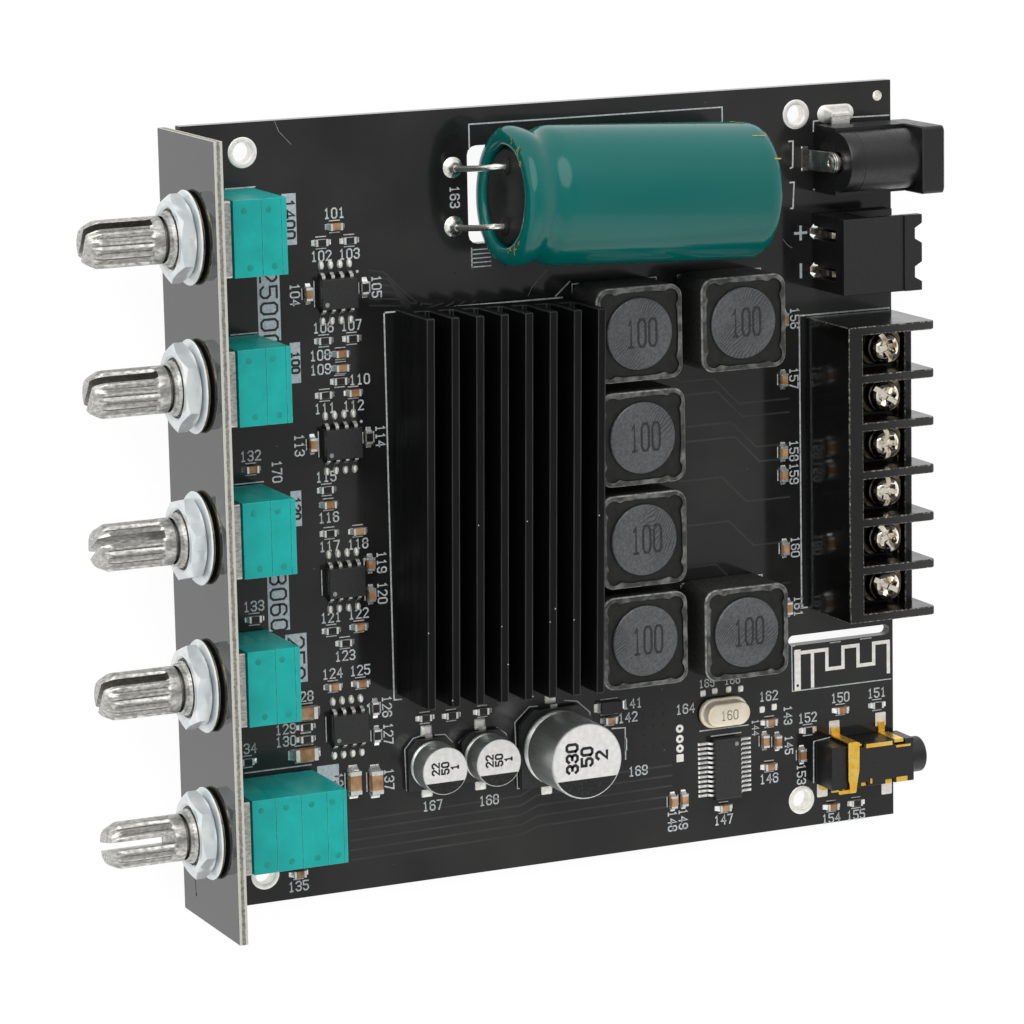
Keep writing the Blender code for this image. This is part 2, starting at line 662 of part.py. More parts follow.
def housing_pieces(name, axis, gangs, foot, top):
    """The teal body: moulded gangs with a groove between them, solder pins and the rotor's pocket."""
    front = -(POT_PLATE_THICK + GAP)
    length = POT_FIRST_GANG + (gangs - 1) * POT_NEXT_GANG
    shells = 2 * gangs
    half = POT_WIDE / 2

    def section(height, inset):
        side, low, high = half - inset, foot + inset, top - inset
        return [(-side, low, height), (side, low, height), (side, high, height), (-side, high, height)]

    rings = [section(front, 0.0)]
    for shell in range(1, shells):
        groove = front - length * shell / shells
        for height, inset in (
            (groove, 0.0), (groove, POT_GROOVE_DEEP),
            (groove - POT_GROOVE_WIDE, POT_GROOVE_DEEP), (groove - POT_GROOVE_WIDE, 0.0),
        ):
            rings.append(section(height, inset))
    rings.append(section(front - length, 0.0))
    housing = lofted(f"{name}_housing", rings, TEAL_PLASTIC)
    pocket = turned(
        f"{name}_housing_pocket",
        [(0.0, front + MM), (ROTOR_RADIUS + GAP + 0.3 * MM, front + MM),
         (ROTOR_RADIUS + GAP + 0.3 * MM, front - ROTOR_POCKET_DEEP), (0.0, front - ROTOR_POCKET_DEEP)],
        COARSE, TEAL_PLASTIC,
    )
    low = -(POT_AXIS_UP + BOARD_THICK + LEAD_BELOW_BOARD)
    pins = []
    for pin_x, pin_back in pot_pins(gangs):
        pins.append((
            (pin_x - POT_PIN_WIDE / 2, low, -pin_back - POT_PIN_THICK / 2),
            (pin_x + POT_PIN_WIDE / 2, foot + MM, -pin_back + POT_PIN_THICK / 2),
        ))
    pins = boxes(f"{name}_housing_pins", pins, NICKEL)
    for piece in (housing, pocket, pins):
        put(piece, axis, FACING_FRONT)
    join(cut(housing, pocket), pins)


def pot_pins(gangs):
    """Sideways offset and distance back of each solder pin."""
    first = POT_PLATE_THICK + GAP + POT_FIRST_GANG / 2 + MM
    return [
        (POT_PIN_PITCH * place, first + POT_NEXT_GANG * gang)
        for gang in range(gangs) for place in (-1, 0, 1)
    ]


def terminal_places():
    """How far along the board each terminal's centre lies."""
    first = TERMINAL_ALONG - TERMINAL_PITCH * (TERMINALS - 1) / 2
    return [first + TERMINAL_PITCH * index for index in range(TERMINALS)]


def header_places():
    """How far along the board each pole of the plug header lies."""
    first = HEADER_ALONG - HEADER_PITCH * (HEADER_POLES - 1) / 2
    return [first + HEADER_PITCH * index for index in range(HEADER_POLES)]


def lead_holes():
    """Every hole that a lead passes through: along, back, radius."""
    holes = []
    for along, gangs, _, _ in POTS:
        pin = math.hypot(POT_PIN_WIDE, POT_PIN_THICK) / 2 + GAP
        holes += [(along + x, back, pin) for x, back in pot_pins(gangs)]
    for side in (-1, 1):
        along = CAN_LEAD_HOLES_ALONG + side * CAN_LEAD_PITCH / 2
        holes.append((along, CAN_LEAD_HOLES_BACK, CAN_LEAD_RADIUS + 1.2 * GAP))
    square_pin = HEADER_PIN / math.sqrt(2) + GAP
    holes += [(along, header_pin_back(), square_pin) for along in header_places()]
    block_pin = TERMINAL_PIN_WIDE / math.sqrt(2) + GAP
    holes += [(along, terminal_screw_back(), block_pin) for along in terminal_places()]
    return holes


def lead_slots():
    """The slots for the power socket's flat legs: along, back, size along, size back."""
    wide, thick = JACK_STRAP_WIDE + 2 * GAP, JACK_STRAP_THICK + 2 * GAP
    return [
        (JACK_ALONG, jack_strap_back(), wide, thick),
        (JACK_SIDE_LEG_ALONG, jack_side_leg_back(), thick, wide),
    ]


def header_pin_back():
    return BOARD_WIDE - HEADER_REAR_FROM_EDGE + HEADER_PIN / 2 + 0.1 * MM


def terminal_screw_back():
    return BOARD_WIDE - TERMINAL_SCREW_FROM_EDGE


def jack_strap_back():
    return BOARD_WIDE - JACK_REAR_FROM_EDGE - JACK_STRAP_BEHIND


def jack_side_leg_back():
    return BOARD_WIDE - JACK_REAR_FROM_EDGE + JACK_SIDE_LEG_AHEAD


def main_board():
    """The board with its holes, and the chips that are soldered flat on it."""
    def flat(along, back):
        return tuple(at(along, back))[:2]

    board = boxes("main_board", [(at(0.0, 0.0, -BOARD_THICK), at(BOARD_LONG, BOARD_WIDE, 0.0))], SOLDER_MASK)
    drilled = []
    for along in (MOUNT_HOLE_FROM_END, -MOUNT_HOLE_FROM_END):
        for back in (MOUNT_HOLE_FROM_FRONT, -MOUNT_HOLE_FROM_REAR):
            drilled.append(circle(MOUNT_HOLE_RADIUS, COARSE, flat(along, back)))
    drilled.append(circle(TOOLING_HOLE_RADIUS, TINY, flat(TOOLING_HOLE_INSET, -TOOLING_HOLE_INSET)))
    for along, back, radius in lead_holes():
        drilled.append(circle(radius / math.cos(math.pi / TINY), TINY, flat(along, back)))
    for along, back, long, wide in lead_slots():
        middle = flat(along, back)
        drilled.append([(middle[0] + side_x * long / 2, middle[1] + side_y * wide / 2)
                        for side_x, side_y in ((-1, -1), (1, -1), (1, 1), (-1, 1))])
    middle = flat(CAN_SLOT_ALONG, CAN_SLOT_BACK)
    drilled.append([(middle[0] + x, middle[1] + y)
                    for x, y in rounded_rectangle(CAN_SLOT_WIDE, CAN_SLOT_LONG, CAN_SLOT_CORNER)])
    antenna_slot = rounded_rectangle(ANTENNA_SLOT_WIDE, ANTENNA_SLOT_LONG, 0.49 * ANTENNA_SLOT_WIDE)
    middle = flat(ANTENNA_SLOT_ALONG, -(ANTENNA_SLOT_FROM_REAR + ANTENNA_SLOT_LONG / 2))
    drilled.append([(middle[0] + x, middle[1] + y) for x, y in antenna_slot])
    cut(board, prisms("board_holes", drilled, -BOARD_THICK, 2 * BOARD_THICK, SOLDER_MASK))

    bodies, feet = [], []
    for kind, along, back, lengthwise in CHIPS:
        long, wide, tall = CHIP_SIZES[kind]
        bodies.append(chip_box(along * MM, back * MM, long, wide, tall, lengthwise))
    for along, back in OP_AMPS:
        bodies.append(chip_box(along, back, OP_AMP_LONG, OP_AMP_BODY_WIDE, OP_AMP_TALL, False))
        feet += chip_feet(along, back, OP_AMP_LEAD_SPAN, OP_AMP_BODY_WIDE, OP_AMP_LEAD_PITCH, 4,
                          OP_AMP_LEAD_WIDE)
    for side in (-0.5, 0.5):
        along = HEATSINK_ALONG + side * AMP_CHIP_APART
        bodies.append(chip_box(along, HEATSINK_BACK, AMP_CHIP_LONG, AMP_CHIP_WIDE, AMP_CHIP_TALL, True))
    join(board, boxes("soldered_chips", bodies, BLACK_EPOXY))
    join(board, boxes("chip_leads", feet, NICKEL))


def chip_box(along, back, long, wide, tall, lengthwise):
    """The corners of a chip let slightly into the board."""
    half_x, half_y = (long / 2, wide / 2) if lengthwise else (wide / 2, long / 2)
    low = at(along, back, -SUNK_IN_BOARD) - Vector((half_x, half_y, 0.0))
    return low, at(along, back, tall) + Vector((half_x, half_y, 0.0))


def chip_feet(along, back, span, body_wide, pitch, count, wide):
    """The feet of a chip whose leads point along the board."""
    feet = []
    for index in range(count):
        y = pitch * (index - (count - 1) / 2)
        for side in (-1, 1):
            inner, outer = side * (body_wide / 2 - 0.2 * MM), side * span / 2
            low = Vector((min(inner, outer), y - wide / 2, 0.0))
            high = Vector((max(inner, outer), y + wide / 2, 0.0))
            feet.append((at(along, back, -SUNK_IN_BOARD / 2) + low, at(along, back, LEAD_FOOT_TALL) + high))
    return feet


def front_panel():
    """A flat panel that hangs on the potentiometers' bushings."""
    start, end = PANEL_START - BOARD_LONG / 2, BOARD_LONG / 2 + PANEL_PAST_END
    low, high = BOARD_THICK - PANEL_BELOW, BOARD_THICK - PANEL_BELOW + PANEL_TALL
    outline = [(start, low), (end, low), (end, high), (start, high)]
    holes = [
        circle(BUSHING_RADIUS + 1.3 * GAP, MEDIUM, (along - BOARD_LONG / 2, BOARD_THICK + POT_AXIS_UP))
        for along, _, _, _ in POTS
    ]
    panel = slab("front_panel", [outline] + holes, PANEL_THICK, GLOSS_BLACK)
    put(panel, (0.0, -BOARD_WIDE / 2 - GAP - PANEL_THICK / 2, 0.0), FACING_FRONT)


def heatsink():
    """An extruded comb of fins."""
    bottom = AMP_CHIP_TALL + GAP
    base = bottom + HEATSINK_BASE_THICK
    half = HEATSINK_WIDE / 2
    pitch = (HEATSINK_WIDE - FIN_THICK) / (FIN_COUNT - 1)
    outline = [(half, bottom), (-half, bottom)]
    for fin in range(FIN_COUNT):
        left = -half + pitch * fin
        right = left + FIN_THICK
        if fin:
            outline += [(left - FIN_ROOT_FILLET, base), (left, base + FIN_ROOT_FILLET)]
        outline += [(left, HEATSINK_TOP), (right, HEATSINK_TOP)]
        if fin < FIN_COUNT - 1:
            outline += [(right, base + FIN_ROOT_FILLET), (right + FIN_ROOT_FILLET, base)]
    sink = slab("heatsink", [outline], HEATSINK_LONG, ANODISED)
    turn = Matrix.Rotation(math.radians(HEATSINK_TURN), 4, "Z")
    put(sink, at(HEATSINK_ALONG, HEATSINK_BACK), turn @ ACROSS_BOARD)


def reservoir_capacitor():
    """A rolled-shut can in a shrunk sleeve, with its rubber bung and two leads."""
    turn = Matrix.Rotation(math.radians(CAN_TURN), 4, "Z")
    backwards, sideways = turn @ Vector((0.0, 1.0, 0.0)), turn @ Vector((1.0, 0.0, 0.0))
    mouth = at(CAN_ALONG, CAN_BACK, CAN_AXIS_UP) - backwards * CAN_LONG / 2
    turn = turn @ FACING_BACK
    edge, groove = CAN_EDGE, CAN_GROOVE_AT
    waist = CAN_RADIUS - CAN_GROOVE_DEEP
    can = turned(
        "reservoir_capacitor_can",
        [(0.0, CAN_LONG), (CAN_RADIUS - edge, CAN_LONG), (CAN_RADIUS - edge * 0.3, CAN_LONG - edge * 0.3),
         (CAN_RADIUS, CAN_LONG - edge), (CAN_RADIUS, groove + edge), (waist, groove + edge * 0.2),
         (waist, groove - edge * 0.2), (CAN_RADIUS - 0.1 * MM, groove - edge),
         (CAN_RADIUS - 0.2 * MM, edge * 0.5), (CAN_RADIUS - edge * 0.7, 0.0), (CAN_MOUTH_RADIUS, 0.0),
         (CAN_MOUTH_RADIUS, CAN_MOUTH_DEEP), (0.0, CAN_MOUTH_DEEP)],
        FINE, TEAL_SLEEVE,
    )
    put(can, mouth, turn)

    bung_radius = CAN_MOUTH_RADIUS - GAP
    bung = turned(
        "reservoir_capacitor_bung",
        [(0.0, CAN_MOUTH_DEEP - GAP), (bung_radius, CAN_MOUTH_DEEP - GAP), (bung_radius, BUNG_RECESS + GAP),
         (bung_radius - GAP, BUNG_RECESS), (0.0, BUNG_RECESS)],
        MEDIUM, RUBBER,
    )
    put(bung, mouth, turn)
    bend = 1.6 * MM
    for side, name in ((-1, "left"), (1, "right")):
        out_of_bung = mouth + sideways * side * CAN_LEAD_PITCH / 2
        along = CAN_LEAD_HOLES_ALONG + side * CAN_LEAD_PITCH / 2
        above_hole = at(along, CAN_LEAD_HOLES_BACK, bend)
        points = [out_of_bung + backwards * (BUNG_RECESS + 0.5 * MM), out_of_bung - backwards * bend / 2]
        start, fall = points[-1], above_hole - points[-1]
        for step in range(1, 5):
            share = step / 5
            points.append(start + Vector((fall.x * share, fall.y * share, fall.z * share ** 1.5)))
        points += [above_hole, at(along, CAN_LEAD_HOLES_BACK, -BOARD_THICK - LEAD_BELOW_BOARD)]
        join(bung, wire(f"reservoir_capacitor_lead_{name}", points, CAN_LEAD_RADIUS, NICKEL))


def upright_capacitor(number, along, back, radius, top):
    """A surface-mounted can on its square base with two cut corners."""
    half = radius + UPRIGHT_BASE_LIP
    trim = half * 0.35
    outline = [(-half, -half + trim), (-half + trim, -half), (half - trim, -half), (half, -half + trim),
               (half, half), (-half, half)]
    name = f"upright_capacitor_{number}"
    edge = radius * 0.1
    low = GAP + UPRIGHT_BASE_THICK
    can = turned(
        name,
        [(0.0, top), (radius - edge, top), (radius, top - edge), (radius, low + 3.2 * edge),
         (radius - edge, low + 2.6 * edge), (radius - edge, low + 1.8 * edge), (radius, low + 1.2 * edge),
         (radius - edge / 2, low), (radius - edge, low - UPRIGHT_BASE_THICK / 2),
         (0.0, low - UPRIGHT_BASE_THICK / 2)],
        MEDIUM, BARE_CAN,
    )
    base = slab(f"{name}_base", [outline], UPRIGHT_BASE_THICK, BLACK_EPOXY)
    put(can, at(along, back))
    put(base, at(along, back, GAP + UPRIGHT_BASE_THICK / 2), Matrix.Rotation(math.radians(-90), 4, "Z"))
    join(can, base)


def inductor(number, along, back):
    """A square ferrite shield round a drum core."""
    thick = INDUCTOR_TOP - GAP
    shield = slab(
        f"inductor_{number}",
        [rounded_rectangle(INDUCTOR_WIDE, INDUCTOR_WIDE, INDUCTOR_CORNER)],
        thick, FERRITE,
    )
    floor, rim = thick / 2 - INDUCTOR_WELL_DEEP, thick / 2 + MM
    well = turned(
        f"inductor_{number}_well",
        [(INDUCTOR_CORE_RADIUS, rim), (INDUCTOR_WELL_RADIUS, rim), (INDUCTOR_WELL_RADIUS, floor),
         (INDUCTOR_CORE_RADIUS, floor)],
        MEDIUM, FERRITE, ring=True,
    )
    for piece in (shield, well):
        put(piece, at(along, back, GAP + thick / 2))
    cut(shield, well)


def power_jack():
    """The round power socket, its centre pin with the strap riveted to it, and the side contact."""
    rear = -JACK_REAR_FROM_EDGE
    flange = JACK_NOSE_PAST_EDGE - JACK_FLANGE_LONG
    nose = JACK_NOSE_PAST_EDGE
    half = JACK_WIDE / 2
    edge = Vector((0.0, BOARD_WIDE, 0.0))
    origin = at(JACK_ALONG, 0.0) + edge
    shoulder = JACK_AXIS_UP - 0.6 * MM

    housing = boxes("power_jack_housing", [((-half, flange, GAP), (half, nose, JACK_TOP))], BLACK_NYLON)
    bevel = housing.modifiers.new("soft_edges", "BEVEL")
    bevel.width = 0.35 * MM
    bevel.segments = 1
    bed = boxes("power_jack_bed", [((-half, rear, GAP), (half, flange + MM, shoulder))], BLACK_NYLON)
    barrel = turned(
        "power_jack_barrel",
        [(0.0, flange + MM), (JACK_BARREL_RADIUS, flange + MM), (JACK_BARREL_RADIUS, rear), (0.0, rear)],
        FINE, BLACK_NYLON,
    )
    bore = turned(
        "power_jack_bore",
        [(0.0, nose + MM), (JACK_BORE_RADIUS, nose + MM), (JACK_BORE_RADIUS, nose - JACK_BORE_DEEP),
         (0.0, nose - JACK_BORE_DEEP)],
        MEDIUM, BLACK_NYLON,
    )
    pin_hole = turned(
        "power_jack_pin_hole",
        [(0.0, nose), (JACK_PIN_RADIUS + 1.2 * GAP, nose), (JACK_PIN_RADIUS + 1.2 * GAP, rear - MM),
         (0.0, rear - MM)],
        COARSE, BLACK_NYLON,
    )
    leg_back = jack_side_leg_back() - BOARD_WIDE
    leg_slot_half = JACK_STRAP_WIDE / 2 + GAP
    tab_low, tab_high = JACK_SIDE_TAB_LOW, JACK_SIDE_TAB_HIGH
    side_slot = boxes(
        "power_jack_side_slot",
        [((-half - MM, leg_back - leg_slot_half, tab_low - GAP),
          (-half + 1.5 * MM, leg_back + leg_slot_half, tab_high + GAP))],
        BLACK_NYLON,
    )
    for piece in (housing, bed, side_slot):
        put(piece, origin)
    for piece in (barrel, bore, pin_hole):
        put(piece, origin + Vector((0.0, 0.0, JACK_AXIS_UP)), FACING_BACK)
    for tool in (bed, barrel):
        join(housing, tool)
    for tool in (bore, pin_hole, side_slot):
        cut(housing, tool)

    strap_back = jack_strap_back() - BOARD_WIDE
    behind = rear - GAP - JACK_STRAP_THICK / 2
    strap = bent_strip(
        "power_jack_pin",
        [(behind, JACK_AXIS_UP + 1.4 * MM), (behind, JACK_AXIS_UP - 1.4 * MM),
         (strap_back, JACK_STRAP_KNEE_UP), (strap_back, -BOARD_THICK - LEAD_BELOW_BOARD)],
        JACK_STRAP_WIDE, JACK_STRAP_THICK, NICKEL,
    )
    put(strap, origin)
    pin_end = nose - JACK_PIN_SHORT_OF_FACE
    pin = turned(
        "power_jack_pin_rod",
        [(0.0, pin_end), (JACK_PIN_RADIUS * 0.5, pin_end), (JACK_PIN_RADIUS, pin_end - 0.5 * MM),
         (JACK_PIN_RADIUS, behind), (0.0, behind)],
        12, NICKEL,
    )
    put(pin, origin + Vector((0.0, 0.0, JACK_AXIS_UP)), FACING_BACK)
    join(strap, pin)

    leg = JACK_SIDE_LEG_ALONG - JACK_ALONG
    thick, wide = JACK_STRAP_THICK, JACK_STRAP_WIDE
    contact = boxes(
        "power_jack_side_contact",
        [((leg - thick / 2, leg_back - wide / 2, -BOARD_THICK - LEAD_BELOW_BOARD),
          (leg + thick / 2, leg_back + wide / 2, tab_high))],
        NICKEL,
    )
    tab = boxes(
        "power_jack_side_tab",
        [((leg, leg_back - wide / 2, tab_low),
          (-half + 1.2 * MM, leg_back + wide / 2, tab_high - thick / 2))],
        NICKEL,
    )
    for piece in (contact, tab):
        put(piece, origin)
    join(contact, tab)


def plug_header():
    """A right-angle header with a keyed lip and square pins bent down into the board."""
    rear = BOARD_WIDE - HEADER_REAR_FROM_EDGE
    front = BOARD_WIDE - HEADER_FRONT_FROM_EDGE
    half = HEADER_WIDE / 2
    middle = at(HEADER_ALONG, 0.0)

    header = boxes(
        "plug_header",
        [((-half, rear, GAP), (half, front - GAP, HEADER_TOP))],
        BLACK_NYLON,
    )
    outline = [(-half, front - HEADER_LIP_LONG), (half, front - HEADER_LIP_LONG), (half, front)]
    for along in reversed(header_places()):
        x = along - HEADER_ALONG
        outline += [(x + HEADER_NOTCH_MOUTH / 2, front),
                    (x + HEADER_NOTCH_FLOOR / 2, front - HEADER_NOTCH_DEEP),
                    (x - HEADER_NOTCH_FLOOR / 2, front - HEADER_NOTCH_DEEP),
                    (x - HEADER_NOTCH_MOUTH / 2, front)]
    outline.append((-half, front))
    lip_thick = HEADER_WALL + HEADER_LIP_RAISED
    lip = slab("plug_header_lip", [outline], lip_thick, BLACK_NYLON)
    mouth = boxes(
        "plug_header_mouth",
        [((-half - MM, front - HEADER_MOUTH_DEEP, GAP + HEADER_WALL),
          (half + MM, front + MM, HEADER_TOP - HEADER_WALL))],
        BLACK_NYLON,
    )
    straight, bent, grooves = [], [], []
    pin_half, groove_half = HEADER_PIN / 2, HEADER_GROOVE_WIDE / 2
    pin_back = header_pin_back()
    for along in header_places():
        x = along - HEADER_ALONG
        straight.append(((x - pin_half, pin_back - pin_half, HEADER_PIN_UP - pin_half),
                         (x + pin_half, front - MM, HEADER_PIN_UP + pin_half)))
        bent.append(((x - pin_half, pin_back - pin_half, -BOARD_THICK - LEAD_BELOW_BOARD),
                     (x + pin_half, pin_back + pin_half, HEADER_PIN_UP)))
        grooves.append(((x - groove_half, rear - MM, -MM),
                        (x + groove_half, rear + HEADER_GROOVE_DEEP, HEADER_GROOVE_TOP)))
    tools = {
        "grooves": boxes("plug_header_grooves", grooves, BLACK_NYLON),
        "mouth": mouth,
        "lip": lip,
        "pins": boxes("plug_header_pins", straight, NICKEL),
        "legs": boxes("plug_header_legs", bent, NICKEL),
    }
    put(header, middle)
    for tool in tools.values():
        put(tool, middle)
    put(lip, middle + Vector((0.0, 0.0, HEADER_TOP - HEADER_WALL + lip_thick / 2)))
    for key in ("grooves", "mouth"):
        cut(header, tools[key])
    for key in ("lip", "pins", "legs"):
        join(header, tools[key])


def terminal_block():
    """A moulded block of screw terminals, parted by fins, and its clamps and screws."""
    rear = -TERMINAL_REAR_FROM_EDGE
    lip = -TERMINAL_LIP_FROM_EDGE
    tip = -TERMINAL_FIN_FROM_EDGE
    origin = at(TERMINAL_ALONG, 0.0) + Vector((0.0, BOARD_WIDE, 0.0))
    half_fin = TERMINAL_FIN_THICK / 2
    half = TERMINAL_PITCH * TERMINALS / 2

    side_view = [
        (rear, GAP), (lip, GAP), (lip, TERMINAL_LIP_TOP), (lip - TERMINAL_LIP_THICK, TERMINAL_LIP_TOP),
        (lip - TERMINAL_LIP_THICK, TERMINAL_FLOOR), (rear + TERMINAL_BACK_WALL, TERMINAL_FLOOR),
        (rear + TERMINAL_BACK_WALL, TERMINAL_TOP), (rear, TERMINAL_TOP),
    ]
    block = slab("terminal_block", [side_view], 2 * half + TERMINAL_FIN_THICK, BLACK_NYLON)
    put(block, origin, ACROSS_BOARD)
    fins = []
    for index in range(TERMINALS + 1):
        x = -half + TERMINAL_PITCH * index
        skin = half_fin + (0.02 * MM if index in (0, TERMINALS) else 0.0)
        fins.append(((x - skin, rear - 0.02 * MM, GAP), (x + skin, tip, TERMINAL_TOP + 0.02 * MM)))
    fins = boxes("terminal_block_fins", fins, BLACK_NYLON)
    pins, wells = [], []
    screw_y, half_pin = -TERMINAL_SCREW_FROM_EDGE, TERMINAL_PIN_WIDE / 2
    for along in terminal_places():
        x = along - TERMINAL_ALONG
        pins.append(((x - half_pin, screw_y - half_pin, -BOARD_THICK - LEAD_BELOW_BOARD),
                     (x + half_pin, screw_y + half_pin, GAP + MM)))
        wells.append(circle(SCREW_SHANK_RADIUS + 1.2 * GAP, 12, (x, screw_y)))
    pins = boxes("terminal_block_pins", pins, NICKEL)
    for piece in (fins, pins):
        put(piece, origin)
    join(block, fins)
    wells = prisms("terminal_block_wells", wells, screw_tip_up() - GAP, TERMINAL_FLOOR + MM, BLACK_NYLON)
    put(wells, origin)
    cut(block, wells)
    join(block, pins)

    for number, along in enumerate(terminal_places(), start=1):
        clamp_and_screw(number, at(along, 0.0) + Vector((0.0, terminal_screw_back(), 0.0)))


def screw_tip_up():
    """How high the tip of a clamped screw is above the board."""
    return TERMINAL_FLOOR + GAP + CLAMP_THICK + GAP - SCREW_SHANK_LONG


def clamp_and_screw(number, axis):
    """A clamp plate and its screw, whose head has a slot through the rim and a cross, on one axis."""
    wide = (TERMINAL_PITCH - TERMINAL_FIN_THICK) / 2 - GAP
    clamp_low = TERMINAL_FLOOR + GAP
    outline = rounded_rectangle(2 * wide, CLAMP_DEEP, CLAMP_CORNER, 3)
    hole = circle(SCREW_SHANK_RADIUS + 1.2 * GAP, 12)
    clamp = slab(f"clamp_plate_{number}", [outline, hole], CLAMP_THICK, NICKEL)
    put(clamp, axis + Vector((0.0, 0.0, clamp_low + CLAMP_THICK / 2)))

    head_low = clamp_low + CLAMP_THICK + GAP
    head_top = head_low + SCREW_HEAD_TALL
    tip = head_low - SCREW_SHANK_LONG
    screw = turned(
        f"terminal_screw_{number}",
        [(0.0, head_top), (SCREW_HEAD_RADIUS * 0.8, head_top), (SCREW_HEAD_RADIUS, head_top - 0.4 * MM),
         (SCREW_HEAD_RADIUS, head_low), (SCREW_SHANK_RADIUS, head_low), (SCREW_SHANK_RADIUS, tip + 0.3 * MM),
         (SCREW_SHANK_RADIUS * 0.7, tip), (0.0, tip)],
        12, NICKEL,
    )
    slot, reach, past = SCREW_RECESS_WIDE / 2, SCREW_HEAD_RADIUS * 0.6, SCREW_HEAD_RADIUS + MM
    cross = [(slot, slot), (slot, reach), (-slot, reach), (-slot, slot), (-past, slot), (-past, -slot),
             (-slot, -slot), (-slot, -reach), (slot, -reach), (slot, -slot), (past, -slot), (past, slot)]
    recess = prisms(f"terminal_screw_{number}_recess", [cross], -SCREW_RECESS_DEEP, MM, NICKEL)
    turn = Matrix.Rotation(math.radians(SCREW_TURNS[number - 1]), 4, "Z")
    put(screw, axis)
    put(recess, axis + Vector((0.0, 0.0, head_top)), turn)
    cut(screw, recess)


def audio_jack():
    """A low surface-mounted audio socket with a round nose, and the gilt clip over its body."""
    rear, face = -AUDIO_REAR_FROM_EDGE, AUDIO_BODY_PAST_EDGE
    half = AUDIO_WIDE / 2
    origin = at(AUDIO_ALONG, 0.0) + Vector((0.0, BOARD_WIDE, 0.0))
    axis_up = GAP + (AUDIO_TOP - GAP) / 2
    nose_end = face + AUDIO_NOSE_LONG

    body = boxes("audio_jack_body", [((-half, rear, GAP), (half, face, AUDIO_TOP))], BLACK_NYLON)
    nose = turned(
        "audio_jack_nose",
        [(0.0, nose_end), (AUDIO_NOSE_RADIUS - 0.2 * MM, nose_end), (AUDIO_NOSE_RADIUS, nose_end - 0.2 * MM),
         (AUDIO_NOSE_RADIUS, face - MM), (0.0, face - MM)],
        MEDIUM, BLACK_NYLON,
    )
    bore = turned(
        "audio_jack_bore",
        [(0.0, nose_end + MM), (AUDIO_BORE_RADIUS, nose_end + MM),
         (AUDIO_BORE_RADIUS, nose_end - AUDIO_BORE_DEEP), (0.0, nose_end - AUDIO_BORE_DEEP)],
        COARSE, BLACK_NYLON,
    )
    put(body, origin)
    for piece in (nose, bore):
        put(piece, origin + Vector((0.0, 0.0, axis_up)), FACING_BACK)
    cut(join(body, nose), bore)

    wide, thick = AUDIO_CLIP_WIDE, AUDIO_CLIP_THICK
    inner = half + GAP
    outer = inner + thick
    top = AUDIO_TOP + GAP
    foot = outer + 1.0 * MM
    clip_view = [
        (-foot, GAP), (-inner, GAP), (-inner, top), (inner, top), (inner, GAP), (foot, GAP),
        (foot, GAP + thick), (outer, GAP + thick), (outer, top + thick), (-outer, top + thick),
        (-outer, GAP + thick), (-foot, GAP + thick),
    ]
    clip = slab("audio_jack_clip", [clip_view], wide, GOLD_FLASH)
    put(clip, origin + Vector((0.0, AUDIO_CLIP_BACK, 0.0)), FACING_FRONT)


def crystal():
    """An oval steel can on its flange."""
    def oval(long, wide):
        return rounded_rectangle(wide, long, wide / 2 - 0.01 * MM, 6)

    flange = slab("crystal", [oval(CRYSTAL_LONG, CRYSTAL_WIDE)], CRYSTAL_FLANGE_THICK, CREAM_STEEL)
    lip = 2 * CRYSTAL_FLANGE_LIP
    tall = CRYSTAL_TOP - GAP
    can = slab("crystal_can", [oval(CRYSTAL_LONG - lip, CRYSTAL_WIDE - lip)], tall, CREAM_STEEL)
    put(flange, at(CRYSTAL_ALONG, CRYSTAL_BACK, GAP + CRYSTAL_FLANGE_THICK / 2))
    put(can, at(CRYSTAL_ALONG, CRYSTAL_BACK, GAP + 0.1 * MM + tall / 2))
    join(flange, can)


def radio_chip():
    """The fine-pitch chip with a row of leads on both sides."""
    half_lead = RADIO_LEAD_SPAN / 2
    body_half = RADIO_BODY_WIDE / 2
    chip = boxes(
        "radio_chip",
        [((-RADIO_LONG / 2, -body_half, GAP + 0.05 * MM), (RADIO_LONG / 2, body_half, RADIO_TALL))],
        BLACK_EPOXY,
    )
    feet = []
    for index in range(RADIO_LEADS_A_SIDE):
        x = RADIO_LEAD_PITCH * (index - (RADIO_LEADS_A_SIDE - 1) / 2)
        low_x, high_x = x - RADIO_LEAD_WIDE / 2, x + RADIO_LEAD_WIDE / 2
        feet.append(((low_x, -half_lead, GAP), (high_x, -body_half + 0.3 * MM, GAP + LEAD_FOOT_TALL)))
        feet.append(((low_x, body_half - 0.3 * MM, GAP), (high_x, half_lead, GAP + LEAD_FOOT_TALL)))
    feet = boxes("radio_chip_leads", feet, NICKEL)
    for piece in (chip, feet):
        put(piece, at(RADIO_ALONG, RADIO_BACK))
    join(chip, feet)


def build():
    """Makes every piece."""
    main_board()
    front_panel()
    for number, (along, gangs, slot_turn, nut_turn) in enumerate(POTS, start=1):
        potentiometer(number, along, gangs, slot_turn, nut_turn)
    heatsink()
    reservoir_capacitor()
    for number, (along, back, radius, top) in enumerate(UPRIGHT_CANS, start=1):
        upright_capacitor(number, along, back, radius, top)
    for number, (along, back) in enumerate(INDUCTORS, start=1):
        inductor(number, along, back)
    power_jack()
    plug_header()
    terminal_block()
    audio_jack()
    crystal()
    radio_chip()
    for piece in PARTS.objects:
        smooth(piece)


build()
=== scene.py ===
# %% [markdown]
# # An audio amplifier board
# The real object is a 100 mm circuit board with five knurled potentiometer shafts on a gloss black
# front panel, a finned heatsink and a row of sockets. Its solids come packed from the CAD step and
# never move. This lesson dresses them: each cell takes one piece or one finish of the real board,
# says how it is made in the factory, and builds or paints it the way that shows that best.

# %% Load the fixed frame
import math
import random

